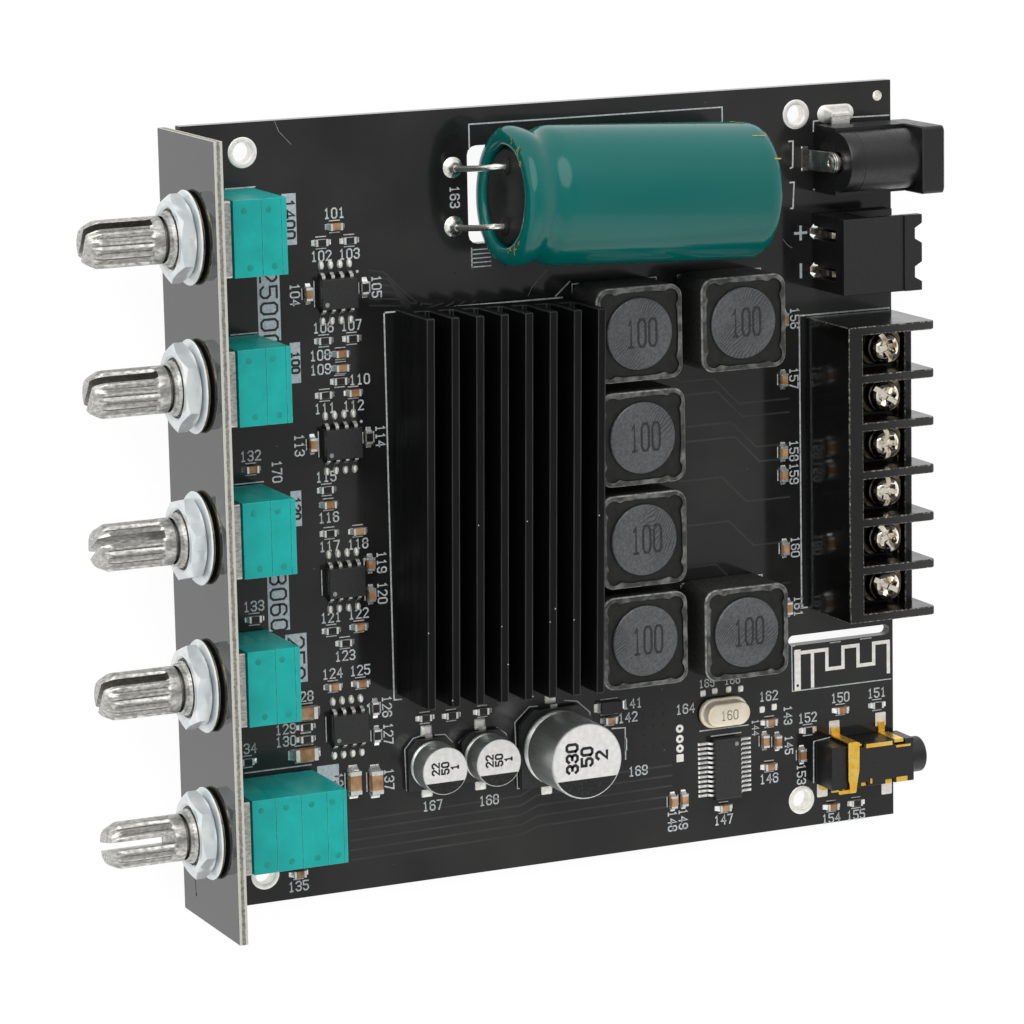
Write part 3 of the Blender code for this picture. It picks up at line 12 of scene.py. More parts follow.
import bmesh
import bpy
from mathutils import Matrix, Vector, noise


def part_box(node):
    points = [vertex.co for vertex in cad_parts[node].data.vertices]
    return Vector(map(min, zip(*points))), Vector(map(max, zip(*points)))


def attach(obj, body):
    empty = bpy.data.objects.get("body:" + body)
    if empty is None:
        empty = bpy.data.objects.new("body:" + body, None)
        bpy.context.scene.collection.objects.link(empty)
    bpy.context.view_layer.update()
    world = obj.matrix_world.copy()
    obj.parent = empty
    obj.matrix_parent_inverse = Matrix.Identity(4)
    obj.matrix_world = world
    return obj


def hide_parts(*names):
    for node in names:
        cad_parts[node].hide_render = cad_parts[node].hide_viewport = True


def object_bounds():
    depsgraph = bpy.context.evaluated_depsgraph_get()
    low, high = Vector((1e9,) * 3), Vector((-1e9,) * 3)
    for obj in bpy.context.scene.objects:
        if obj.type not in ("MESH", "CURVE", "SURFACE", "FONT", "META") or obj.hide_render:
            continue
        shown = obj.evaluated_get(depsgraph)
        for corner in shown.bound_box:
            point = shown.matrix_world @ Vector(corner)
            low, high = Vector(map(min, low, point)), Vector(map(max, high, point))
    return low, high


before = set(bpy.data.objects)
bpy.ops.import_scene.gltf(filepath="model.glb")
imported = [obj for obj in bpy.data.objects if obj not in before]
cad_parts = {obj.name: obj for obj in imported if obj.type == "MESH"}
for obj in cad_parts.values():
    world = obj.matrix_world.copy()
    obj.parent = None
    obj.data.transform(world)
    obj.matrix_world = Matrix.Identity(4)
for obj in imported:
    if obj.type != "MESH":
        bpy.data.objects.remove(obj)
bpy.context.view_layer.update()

print("CAD nodes:", len(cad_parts))

# %% [markdown]
# ## Places on the board
# A circuit designer gives places in millimetres from a corner of the board. Here they are: along
# (towards +X), back (from the front edge, towards +Y) and up (from the board's top face). One
# matrix turns them into metres in the frame, so every piece is drawn in plain millimetres.

# %% Millimetres from the board's corner
MM = 0.001
IN_MM = Matrix.Diagonal((MM, MM, MM, 1))
BOARD_LONG, BOARD_WIDE, BOARD_THICK = 99.75, 99.55, 1.6
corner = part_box("main_board")[0]
BOARD = Matrix.Translation(corner + Vector((0, 0, BOARD_THICK * MM))) @ IN_MM


def moved(x, y, z=0.0):
    return Matrix.Translation((x, y, z))


def rotated(degrees, axis):
    return Matrix.Rotation(math.radians(degrees), 4, axis)


def from_corner(along, back):
    """Negative numbers count from the far edges."""
    return along + BOARD_LONG * (along < 0), back + BOARD_WIDE * (back < 0)


def on_board(along, back, up=0.0, turn=0.0):
    """The place of a piece that stands on the board."""
    return BOARD @ moved(*from_corner(along, back), up) @ rotated(turn, "Z")


print("board corner:", [round(c / MM, 2) for c in corner])

# %% [markdown]
# ## The camera
# The photograph looks down on the board from about 63 degrees, with a long lens and the camera
# rolled so that the front panel stands on the left. The three directions below are the camera's
# right, up and backward axes, found by matching the board's corners and its parts.

# %% Camera at the photograph's viewing angle


def placed(name, data):
    made = bpy.data.objects.new(name, data)
    bpy.context.scene.collection.objects.link(made)
    return made


lens = bpy.data.cameras.new("photo_lens")
lens.lens = 156.986
lens.sensor_width = 36.0
lens.clip_start, lens.clip_end = 0.01, 20.0
camera = placed("camera", lens)
right = (0.0204304, 0.9096019, 0.4149784, 0)
upward = (-0.9815508, 0.0971714, -0.1646684, 0)
backward = (-0.1901067, -0.4039581, 0.8948057, 0)
place = (-0.1067576, -0.2384764, 0.5162462, 1)
camera.matrix_world = Matrix((right, upward, backward, place)).transposed()
bpy.context.scene.camera = camera
print("camera elevation:", round(math.degrees(math.asin(backward[2])), 1))

# %% [markdown]
# ## Studio light
# Product photographs of shiny parts are taken inside white paper: what the gloss surfaces mirror
# is a bright surround, and the light itself stays soft. The world is plain grey light for matt
# surfaces, while camera and glossy rays see white that gets a little darker overhead.

# %% Colours, and one function that adds a node


def tint(code, alpha=1.0):
    """An sRGB hex colour as linear numbers."""
    parts = [int(code[i:i + 2], 16) / 255 for i in (1, 3, 5)]
    return (*(p / 12.92 if p <= 0.04045 else ((p + 0.055) / 1.055) ** 2.4 for p in parts), alpha)


def node(tree, kind, links=None, **settings):
    """Adds a node. links gives its inputs, by name or number, as a value or another node's output."""
    made = tree.nodes.new(kind)
    for name, value in settings.items():
        setattr(made, name, value)
    for name, value in (links or {}).items():
        if isinstance(value, bpy.types.NodeSocket):
            tree.links.new(value, made.inputs[name])
        else:
            made.inputs[name].default_value = value
    return made


print("middle grey is", round(tint("#808080")[0], 3), "in linear light")

# %% World and lamps
world = bpy.data.worlds.new("white_studio")
bpy.context.scene.world = world
world.use_nodes = True
sky = world.node_tree
sky.nodes.clear()
path = node(sky, "ShaderNodeLightPath").outputs
direction = node(sky, "ShaderNodeTexCoord").outputs["Generated"]
height = node(sky, "ShaderNodeSeparateXYZ", {0: direction}).outputs["Z"]
overhead = node(sky, "ShaderNodeMapRange", {"Value": height, "From Min": 0.6, "From Max": 0.98}).outputs[0]
paper = node(sky, "ShaderNodeMix", {"Factor": overhead, 6: tint("#ffffff"), 7: tint("#a6a6a6")},
             data_type="RGBA").outputs[2]
mirrored = node(sky, "ShaderNodeMath", {0: path["Is Glossy Ray"], 1: path["Is Transmission Ray"]},
                operation="MAXIMUM").outputs[0]
seen = node(sky, "ShaderNodeMix", {"Factor": mirrored, 6: tint("#c4c4c4"), 7: paper},
            data_type="RGBA").outputs[2]
final = node(sky, "ShaderNodeMix", {"Factor": path["Is Camera Ray"], 6: seen, 7: tint("#ffffff")},
             data_type="RGBA").outputs[2]
backdrop = node(sky, "ShaderNodeBackground", {"Color": final, "Strength": 1.0}).outputs[0]
node(sky, "ShaderNodeOutputWorld", {"Surface": backdrop})


def soft_lamp(name, toward, strength, spread):
    """A distant lamp that shines along toward."""
    data = bpy.data.lights.new(name, "SUN")
    data.energy, data.angle = strength, math.radians(spread)
    lamp = placed(name, data)
    lamp.rotation_mode = "QUATERNION"
    lamp.rotation_quaternion = Vector(toward).to_track_quat("-Z", "Y")


soft_lamp("key_softbox", (0.68, 0.36, -0.64), 1.4, 55)
soft_lamp("fill_softbox", (-0.75, -0.15, -0.6), 0.2, 50)
bpy.context.scene.view_settings.view_transform = "Standard"
print("lamps:", len(bpy.data.lights))

# %% [markdown]
# ## Plain pale floor
# The board rests on white paper. For the camera and for mirror rays the paper glows almost white,
# and the small matt share of its material keeps the soft shadow under the board.

# %% Floor
sheet = bpy.data.meshes.new("paper_floor")
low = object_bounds()[0].z - 0.02 * MM
sheet.from_pydata([(-3, -3, low), (3, -3, low), (3, 3, low), (-3, 3, low)], [], [(0, 1, 2, 3)])
floor = placed("paper_floor", sheet)
paper_white = bpy.data.materials.new("white_backdrop_paper")
paper_white.use_nodes = True
tree = paper_white.node_tree
tree.nodes.clear()
path = node(tree, "ShaderNodeLightPath").outputs
bright = node(tree, "ShaderNodeMath", {0: path["Is Camera Ray"], 1: path["Is Glossy Ray"]},
              operation="MAXIMUM").outputs[0]
share = node(tree, "ShaderNodeMath", {0: bright, 1: 0.86}, operation="MULTIPLY").outputs[0]
matt = node(tree, "ShaderNodeBsdfDiffuse", {"Color": tint("#f0f0f0")}).outputs[0]
glow = node(tree, "ShaderNodeEmission", {"Color": tint("#ffffff"), "Strength": 1.08}).outputs[0]
both = node(tree, "ShaderNodeMixShader", {0: share, 1: matt, 2: glow}).outputs[0]
node(tree, "ShaderNodeOutputMaterial", {"Surface": both})
sheet.materials.append(paper_white)
print("floor at", round(low / MM, 2), "mm")

# %% [markdown]
# ## Shapes
# A few small builders cover the board. A lathe turns a profile, a skin runs through rings of equally
# many points, a prism stands on an outline, and a ribbon is a flat line of ink or copper. Edges of
# moulded and cut parts are never razor sharp, so a bevel modifier breaks them.

# %% Outlines in millimetres


def polar(reach, a):
    return reach * math.cos(a), reach * math.sin(a)


def circle(radius, count, centre=(0.0, 0.0)):
    points = (polar(radius, math.tau * i / count) for i in range(count))
    return [(centre[0] + x, centre[1] + y) for x, y in points]


def rounded(wide, tall, radius, points=5):
    """A rectangle with rounded corners."""
    outline = []
    for quarter, (sx, sy) in enumerate(((1, 1), (-1, 1), (-1, -1), (1, -1))):
        for step in range(points):
            x, y = polar(radius, math.radians(90 * (quarter + step / (points - 1))))
            outline.append((sx * (wide / 2 - radius) + x, sy * (tall / 2 - radius) + y))
    return outline


def level(outline, height):
    """An outline as a ring of points at one height."""
    return [(x, y, height) for x, y in outline]


print("points of a rounded square:", len(rounded(1, 1, 0.2)))

# %% Builders


def skin(shape, rings, spot, paint=0, caps=(True, True), loop=False):
    """Faces through rings of points, with a cap on each end that asks for one."""
    rows = [[shape.verts.new(spot @ Vector(p)) for p in ring] for ring in rings]
    pairs = list(zip(rows, rows[1:])) + ([(rows[-1], rows[0])] if loop else [])
    faces = []
    for lower, upper in pairs:
        for i in range(len(lower)):
            j = (i + 1) % len(lower)
            faces.append(shape.faces.new((lower[i], lower[j], upper[j], upper[i])))
    if not loop:
        faces += [shape.faces.new(row) for row, wanted in zip((rows[0], rows[-1]), caps) if wanted]
    for face in faces:
        face.material_index = paint
    return faces


def lathe(shape, profile, spot, steps=48, paint=0, loop=False):
    """Turns (radius, height) points round local Z. A radius of nothing closes the end."""
    tiny = 0.002
    rings = [level(circle(max(r, tiny), steps), z) for r, z in profile]
    return skin(shape, rings, spot, paint, (profile[0][0] == 0, profile[-1][0] == 0), loop)


def prism(shape, outline, low, high, spot, paint=0):
    return skin(shape, [level(outline, z) for z in (low, high)], spot, paint)


def block(shape, low, high, spot, paint=0):
    outline = [(low[0], low[1]), (high[0], low[1]), (high[0], high[1]), (low[0], high[1])]
    return prism(shape, outline, low[2], high[2], spot, paint)


def mound(shape, outline, layers, spot, paint=0, middle=0.0, caps=(False, True)):
    """A low heap of solder: an outline that draws in as it rises. layers are (share, height)."""
    skin(shape, [level([(x * s, middle + (y - middle) * s) for x, y in outline], z) for s, z in layers],
         spot, paint, caps)


def tube(shape, points, radius, spot, paint=0, sides=10):
    """A round wire through points."""
    points = [Vector(p) for p in points]
    rings = []
    for i, p in enumerate(points):
        run = (points[min(i + 1, len(points) - 1)] - points[max(i - 1, 0)]).normalized()
        side = run.orthogonal() if abs(run.x) > 0.9 else run.cross(Vector((1, 0, 0)))
        side.normalize()
        other = run.cross(side)
        rings.append([p + radius * (side * x + other * y) for x, y in circle(1, sides)])
    skin(shape, rings, spot, paint)


def strip(shape, line, wide, thick, spot, paint=0):
    """A strip of sheet metal bent along (y, z) points, its width along x."""
    rings = []
    for i, (y, z) in enumerate(line):
        run = (Vector(line[min(i + 1, len(line) - 1)]) - Vector(line[max(i - 1, 0)])).normalized()
        dy, dz = -run.y * thick / 2, run.x * thick / 2
        rings.append([(-wide / 2, y + dy, z + dz), (wide / 2, y + dy, z + dz),
                      (wide / 2, y - dy, z - dz), (-wide / 2, y - dy, z - dz)])
    skin(shape, rings, spot, paint)


def ribbon(shape, line, wide, up=0.02, paint=0, spot=BOARD, loop=False):
    """A flat line of ink through (along, back) points, mitred at its corners."""
    line = [Vector(point) for point in line]
    sides = []
    for i, here in enumerate(line):
        runs = []
        if i or loop:
            runs.append((here - line[i - 1]).normalized())
        if i < len(line) - 1 or loop:
            runs.append((line[(i + 1) % len(line)] - here).normalized())
        run = sum(runs, Vector((0, 0))).normalized()
        off = Vector((-run.y, run.x)) * wide / 2 / max(run.dot(runs[0]), 0.6)
        if len(runs) == 1:
            here = here + run * wide / 2 * (1 if i else -1)
        sides.append([shape.verts.new(spot @ Vector((*(here + side * off), up))) for side in (1, -1)])
    pairs = list(zip(sides, sides[1:])) + ([(sides[-1], sides[0])] if loop else [])
    for (a, b), (c, d) in pairs:
        shape.faces.new((b, d, c, a)).material_index = paint


def patch(shape, outline, up=0.02, paint=0, spot=BOARD):
    """A flat filled area of ink or bare metal."""
    face = shape.faces.new([shape.verts.new(spot @ Vector(point)) for point in level(outline, up)])
    face.material_index = paint


print("builders: skin, lathe, prism, block, mound, tube, strip, ribbon, patch")

# %% From a shape to a finished piece


def fresh(builder, *values, **settings):
    """A new shape with one builder's work in it."""
    shape = bmesh.new()
    builder(shape, *values, **settings)
    return shape


def soften(piece, wide, worn=-1):
    """Breaks the sharp edges of a piece by so many millimetres. worn is the finish of the broken edge."""
    modifier = piece.modifiers.new("soft_edges", "BEVEL")
    modifier.width = wide * MM
    modifier.segments = 2
    modifier.material = worn
    modifier.limit_method = "ANGLE"
    modifier.angle_limit = math.radians(40)
    modifier.harden_normals = True


def dressed(piece, finishes, bevel=0.0):
    """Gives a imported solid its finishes, and a bevel in the last one once its seams are welded."""
    piece.data.materials.clear()
    for finish in finishes:
        piece.data.materials.append(finish)
    if bevel:
        piece.modifiers.new("closed_seams", "WELD").merge_threshold = 0.001 * MM
        soften(piece, bevel, len(finishes) - 1)


def finished(name, shape, finishes, body="board", stands_for=(), bevel=0.0, closed=True, edge=38, worn=-1):
    """Makes the object, gives it its finishes, and lets it ride on its body."""
    if closed:
        bmesh.ops.recalc_face_normals(shape, faces=shape.faces)
    mesh = bpy.data.meshes.new(name)
    shape.to_mesh(mesh)
    shape.free()
    for finish in finishes:
        mesh.materials.append(finish)
    made = placed(name, mesh)
    mesh.shade_smooth()
    mesh.set_sharp_from_angle(angle=math.radians(edge))
    if bevel:
        soften(made, bevel, worn)
    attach(made, body)
    if stands_for:
        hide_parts(*stands_for)


def carved(shape, tools):
    """Cuts other shapes out of a shape, one after another."""
    for tool in tools:
        objects = []
        for number, work in enumerate((shape, tool)):
            bmesh.ops.recalc_face_normals(work, faces=work.faces)
            mesh = bpy.data.meshes.new(f"carving_{number}")
            work.to_mesh(mesh)
            work.free()
            objects.append(placed(mesh.name, mesh))
        modifier = objects[0].modifiers.new("cut", "BOOLEAN")
        modifier.operation, modifier.solver, modifier.object = "DIFFERENCE", "EXACT", objects[1]
        bpy.context.view_layer.update()
        result = bpy.data.meshes.new_from_object(
            objects[0].evaluated_get(bpy.context.evaluated_depsgraph_get()))
        shape = bmesh.new()
        shape.from_mesh(result)
        for used in objects:
            bpy.data.objects.remove(used)
        bpy.data.meshes.remove(result)
    return shape


def joined(shapes):
    """Puts shapes side by side into one."""
    whole = bmesh.new()
    for shape in shapes:
        mesh = bpy.data.meshes.new("joined")
        shape.to_mesh(mesh)
        shape.free()
        whole.from_mesh(mesh)
        bpy.data.meshes.remove(mesh)
    return whole


# %% [markdown]
# ## Start of every finish
# All the finishes are Principled BSDF materials with a noise on top. One function makes them, and
# the noise's size is given in millimetres, because the frame is in metres.

# %% Finishes


def per(size):
    """The scale of a pattern whose features are so many millimetres across."""
    return 1 / (size * MM)


def finish(name, size, dark, light, rough, metallic=0.0, ior=None, stretch=(1, 1, 1), low=0.35, high=0.65,
           bump=0.0, detail=4.0):
    """A material whose colour, roughness and relief come from one noise, size millimetres across.

    rough is one roughness, or a pair for the dark and the light places. Metals keep the default IOR."""
    made = bpy.data.materials.new(name)
    made.use_nodes = True
    tree = made.node_tree
    shader = tree.nodes["Principled BSDF"].inputs
    shader["Metallic"].default_value = metallic
    if ior:
        shader["IOR"].default_value = ior
    spot = node(tree, "ShaderNodeTexCoord").outputs["Object"]
    scaled = node(tree, "ShaderNodeMapping", {"Vector": spot, "Scale": stretch}).outputs[0]
    cloud = node(tree, "ShaderNodeTexNoise",
                 {"Vector": scaled, "Scale": per(size), "Detail": detail}).outputs[0]
    band = {"Value": cloud, "From Min": low, "From Max": high}
    spread = node(tree, "ShaderNodeMapRange", band).outputs[0]
    blend = node(tree, "ShaderNodeMix", {"Factor": spread, 6: tint(dark), 7: tint(light)}, data_type="RGBA")
    # A viewer that can't draw the noise shows the values halfway.
    shader["Base Color"].default_value = [(a + b) / 2 for a, b in zip(tint(dark), tint(light))]
    tree.links.new(blend.outputs[2], shader["Base Color"])
    if isinstance(rough, tuple):
        shader["Roughness"].default_value = sum(rough) / 2
        shine = node(tree, "ShaderNodeMapRange", {**band, "To Min": rough[0], "To Max": rough[1]})
        tree.links.new(shine.outputs[0], shader["Roughness"])
    else:
        shader["Roughness"].default_value = rough
    if bump:
        relief = node(tree, "ShaderNodeBump", {"Height": cloud, "Strength": 1.0, "Distance": bump * MM})
        tree.links.new(relief.outputs[0], shader["Normal"])
    return made


def opened(material):
    """A finish opened for another pattern: its tree, its inputs and the output that colours it now."""
    shader = material.node_tree.nodes["Principled BSDF"].inputs
    return material.node_tree, shader, shader["Base Color"].links[0].from_socket


print("a 1 mm pattern has the scale", per(1))

# %% [markdown]
# ## Black solder mask
# The board is glass-fibre laminate with copper, screened with a liquid black epoxy ink that is
# cured to a gloss. It mirrors the white surround weakly, shows the copper below as faint relief,
# and carries a little dust. The noise is broad, because the ink's thickness varies over centimetres.

# %% Solder mask and laminate
# A black gloss with slow clouds and pale specks. Its sawn edges show the brown laminate.
solder_mask = finish("black_solder_mask_on_laminate", 16, "#1b1b1b", "#2a2a29", (0.08, 0.16), ior=1.5,
                     bump=0.02, detail=3.0)
tree, shader, clouds = opened(solder_mask)
spot = node(tree, "ShaderNodeTexCoord").outputs["Object"]
specks = node(tree, "ShaderNodeTexVoronoi", {"Vector": spot, "Scale": per(3.4)}).outputs["Distance"]
dust = node(tree, "ShaderNodeMath", {0: specks, 1: 0.022}, operation="LESS_THAN").outputs[0]
dusty = node(tree, "ShaderNodeMix", {"Factor": dust, 6: clouds, 7: tint("#77776f")},
             data_type="RGBA").outputs[2]
facing = node(tree, "ShaderNodeNewGeometry").outputs["True Normal"]
upright = node(tree, "ShaderNodeSeparateXYZ", {0: facing}).outputs["Z"]
flat = node(tree, "ShaderNodeMath", {0: upright}, operation="ABSOLUTE").outputs[0]
sawn = node(tree, "ShaderNodeMath", {0: flat, 1: 0.5}, operation="LESS_THAN").outputs[0]
laminate = node(tree, "ShaderNodeMix", {"Factor": sawn, 6: dusty, 7: tint("#2c2a22")}, data_type="RGBA")
tree.links.new(laminate.outputs[2], shader["Base Color"])
dressed(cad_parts["main_board"], [solder_mask])

# A copper track lies 35 micrometres proud below the ink, which makes it a shade lighter.
covered_copper = finish("solder_mask_over_copper", 6, "#303030", "#3e3e3d", 0.2, ior=1.5)
print("board finish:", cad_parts["main_board"].data.materials[0].name)

# %% [markdown]
# ## Gloss black front panel
# The panel is a second piece of laminate, with a gloss ink on its face. Seen at a steep angle it
# mirrors the paper and looks grey. Its milled edges show the pale glass fibre, speckled by the
# cutter, with painted highlight lines along their corners, so the material tells faces from edges by
# the direction of the surface.

# %% Panel
panel_ink = finish("gloss_black_panel_ink_with_milled_edges", 0.3, "#5f5e57", "#96948a", 0.05, ior=1.62,
                   low=0.3, high=0.62, detail=6.0)
tree, shader, edge = opened(panel_ink)
fibres = tree.nodes["Noise Texture"].outputs[0]
shader["Base Color"].default_value = tint("#101011")
# Ragged pale lines 0.3 mm wide beside the two faces are a painted highlight on the corners of the milled edge.
front, rear = (end.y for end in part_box("front_panel"))
half = (rear - front) / 2
spot = node(tree, "ShaderNodeTexCoord").outputs["Object"]
inside = node(tree, "ShaderNodeSeparateXYZ", {0: spot}).outputs["Y"]
off = node(tree, "ShaderNodeMath", {0: inside, 1: (front + rear) / 2}, operation="SUBTRACT").outputs[0]
depth = node(tree, "ShaderNodeMath", {0: off}, operation="ABSOLUTE").outputs[0]
ragged = node(tree, "ShaderNodeMath", {0: fibres, 1: 0.25 * MM, 2: depth},
              operation="MULTIPLY_ADD").outputs[0]
rim = node(tree, "ShaderNodeMapRange", {"Value": ragged, "From Min": half - 0.27 * MM,
                                        "From Max": half - 0.15 * MM}).outputs[0]
milled = node(tree, "ShaderNodeMix", {"Factor": rim, 6: edge, 7: tint("#cfcdc2")},
              data_type="RGBA").outputs[2]
facing = node(tree, "ShaderNodeNewGeometry").outputs["True Normal"]
across = node(tree, "ShaderNodeSeparateXYZ", {0: facing}).outputs["Y"]
flat = node(tree, "ShaderNodeMath", {0: across}, operation="ABSOLUTE").outputs[0]
face = node(tree, "ShaderNodeMath", {0: flat, 1: 0.7}, operation="GREATER_THAN").outputs[0]
paint = node(tree, "ShaderNodeMix", {"Factor": face, 6: milled, 7: tint("#0e0e0f")}, data_type="RGBA")
tree.links.new(paint.outputs[2], shader["Base Color"])
polish = node(tree, "ShaderNodeMapRange", {"Value": face, "To Min": 0.6, "To Max": 0.05})
tree.links.new(polish.outputs[0], shader["Roughness"])
# A nearly white bevel on the edge's corners is a painted highlight.
edge_highlight = finish("painted_highlight_on_the_laminate_edge", 0.3, "#b5b2a6", "#f6f4ec", 0.5, low=0.3, high=0.55)
dressed(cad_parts["front_panel"], [panel_ink, edge_highlight], 0.16)

# A cut through the gloss is matt and blacker than the ink.
engraving = finish("fine_engraved_mark", 0.4, "#080808", "#141414", 0.5)
on_panel = BOARD @ moved(0, -1.4) @ rotated(90, "X")
mark = fresh(ribbon, [(94.8, -0.14), (96.2, 0.06), (97.3, 0.2)], 0.16, spot=on_panel)
patch(mark, circle(0.22, 12, (97.3, 0.2)), up=0.025, spot=on_panel)
finished("panel_mark", mark, [engraving], closed=False)
print("panel thickness:", round(2 * half / MM, 2), "mm")

# %% [markdown]
# ## Metals of the potentiometers
# The shafts and bushings are zinc, cast under pressure in a steel die. The nuts and washers are
# steel with bright zinc plate. The other metals here come back all over the board.

# %% Die-cast zinc, zinc plate, tin and solder
# Grey, a little porous, and scuffed bright on the ribs.
die_cast = finish("die_cast_zinc", 0.34, "#8f8e89", "#d1d0cb", (0.46, 0.3), 1.0, stretch=(1, 0.5, 1),
                  low=0.3, high=0.66, bump=0.016, detail=6.0)
# A darker grey in the roots of the knurl is painted shade, which draws the ribs as dark lines.
knurl_root_shade = finish("painted_shade_in_the_knurl_roots", 0.34, "#5c5b57", "#96958f", 0.5, 1.0)
# Smooth, pale and bluish.
zinc_plate = finish("bright_zinc_plate", 2.4, "#e3ebee", "#fbfefe", (0.24, 0.14), 0.3, bump=0.006)
# The passivated rim of the washer is a thin brown line.
yellow_zinc = finish("zinc_plate_with_a_yellow_cast", 0.8, "#6f5c3c", "#cdb98a", (0.4, 0.22), 1.0)
# Pins and leads: white metal with soft mirror spots.
tinned = finish("solder_tinned_copper", 0.8, "#dad7ce", "#fdfcf7", (0.36, 0.2), 1.0, bump=0.012)
# Pads that no part has touched stay a dull, chalky white.
bare_tin = finish("dull_white_hot_air_tin", 0.7, "#efece3", "#fffef9", 0.55, 0.8, low=0.3, high=0.6)
# Solder that has just run is the brightest thing on the board.
solder = finish("bright_reflowed_solder", 0.5, "#efeee8", "#ffffff", (0.24, 0.08), 0.75, bump=0.02)
print("materials:", len(bpy.data.materials))

# %% [markdown]
# ## Teal thermoplastic
# The potentiometer bodies are moulded from filled thermoplastic, matt with a slight sheen. A fine
# grain and a soft bump keep the faces from looking like painted wood.

# %% Teal moulding
# An even teal with a faint cloud of filler.
teal = finish("teal_moulded_thermoplastic", 3.5, "#03a8a2", "#0bb8b1", (0.4, 0.3), ior=1.47, bump=0.012)
# A lighter teal on the bevelled edges of the mould is a painted highlight.
teal_edge_highlight = finish("teal_moulding_painted_highlight_edge", 0.6, "#14aaa2", "#48c4bc", 0.4, ior=1.47, low=0.3, high=0.6)
# A darker teal is painted shade in the seams and on the ejector marks.
teal_painted_shade = finish("teal_painted_shade_in_recesses", 0.9, "#058f88", "#0a9d95", 0.55, ior=1.47)
print("materials:", len(bpy.data.materials))

# %% [markdown]
# ## The five potentiometers
# A rotary potentiometer is a zinc plate with a threaded bushing, riveted to one or two moulded
# gangs. The knurl is 18 straight ribs for a push-on knob, and the shaft is sawn so that it can
# spring. A boolean saws the slot, as on the real one, and the ribs come from the ring's outline.

# %% Rings of the knurl and the nut
RIBS = 18
RIB = (0.0, 0.0, 0.6, 1.0, 1.0, 0.6)      # a flat crest, a flank, a narrow root and a flank
KNURL = ((5.6, 2.86, 0), (5.72, 2.96, 0), (6.98, 2.96, 0), (7.1, 2.95, 0.05), (7.35, 2.96, 0.28),
         (13.6, 2.96, 0.28), (13.9, 2.9, 0.26), (14.3, 2.72, 0.14), (15.15, 2.3, 0), (15.4, 2.05, 0))
NUT_REACH, NUT_STEPS = 4.8, 72


def ribbed(height, outer, depth):
    """One ring of the knurl, depth deep in its roots."""
    count = RIBS * len(RIB)
    reaches = [outer - depth * RIB[i % len(RIB)] for i in range(count)]
    return level([polar(reach, math.tau * i / count) for i, reach in enumerate(reaches)], height)


def nut_ring(height, slope):
    """Where the chamfer's cone meets a hexagon 9.6 mm across flats: an arc on each flat."""
    ring = []
    for i in range(NUT_STEPS):
        a = math.tau * i / NUT_STEPS
        reach = NUT_REACH / math.cos((a + math.pi / 6) % (math.pi / 3) - math.pi / 6)
        ring.append((*polar(reach, a), height + slope * (reach - NUT_REACH)))
    return ring


def hole_ring(height, radius):
    return level(circle(radius, NUT_STEPS), height)


print("knurl points in a ring:", RIBS * len(RIB))

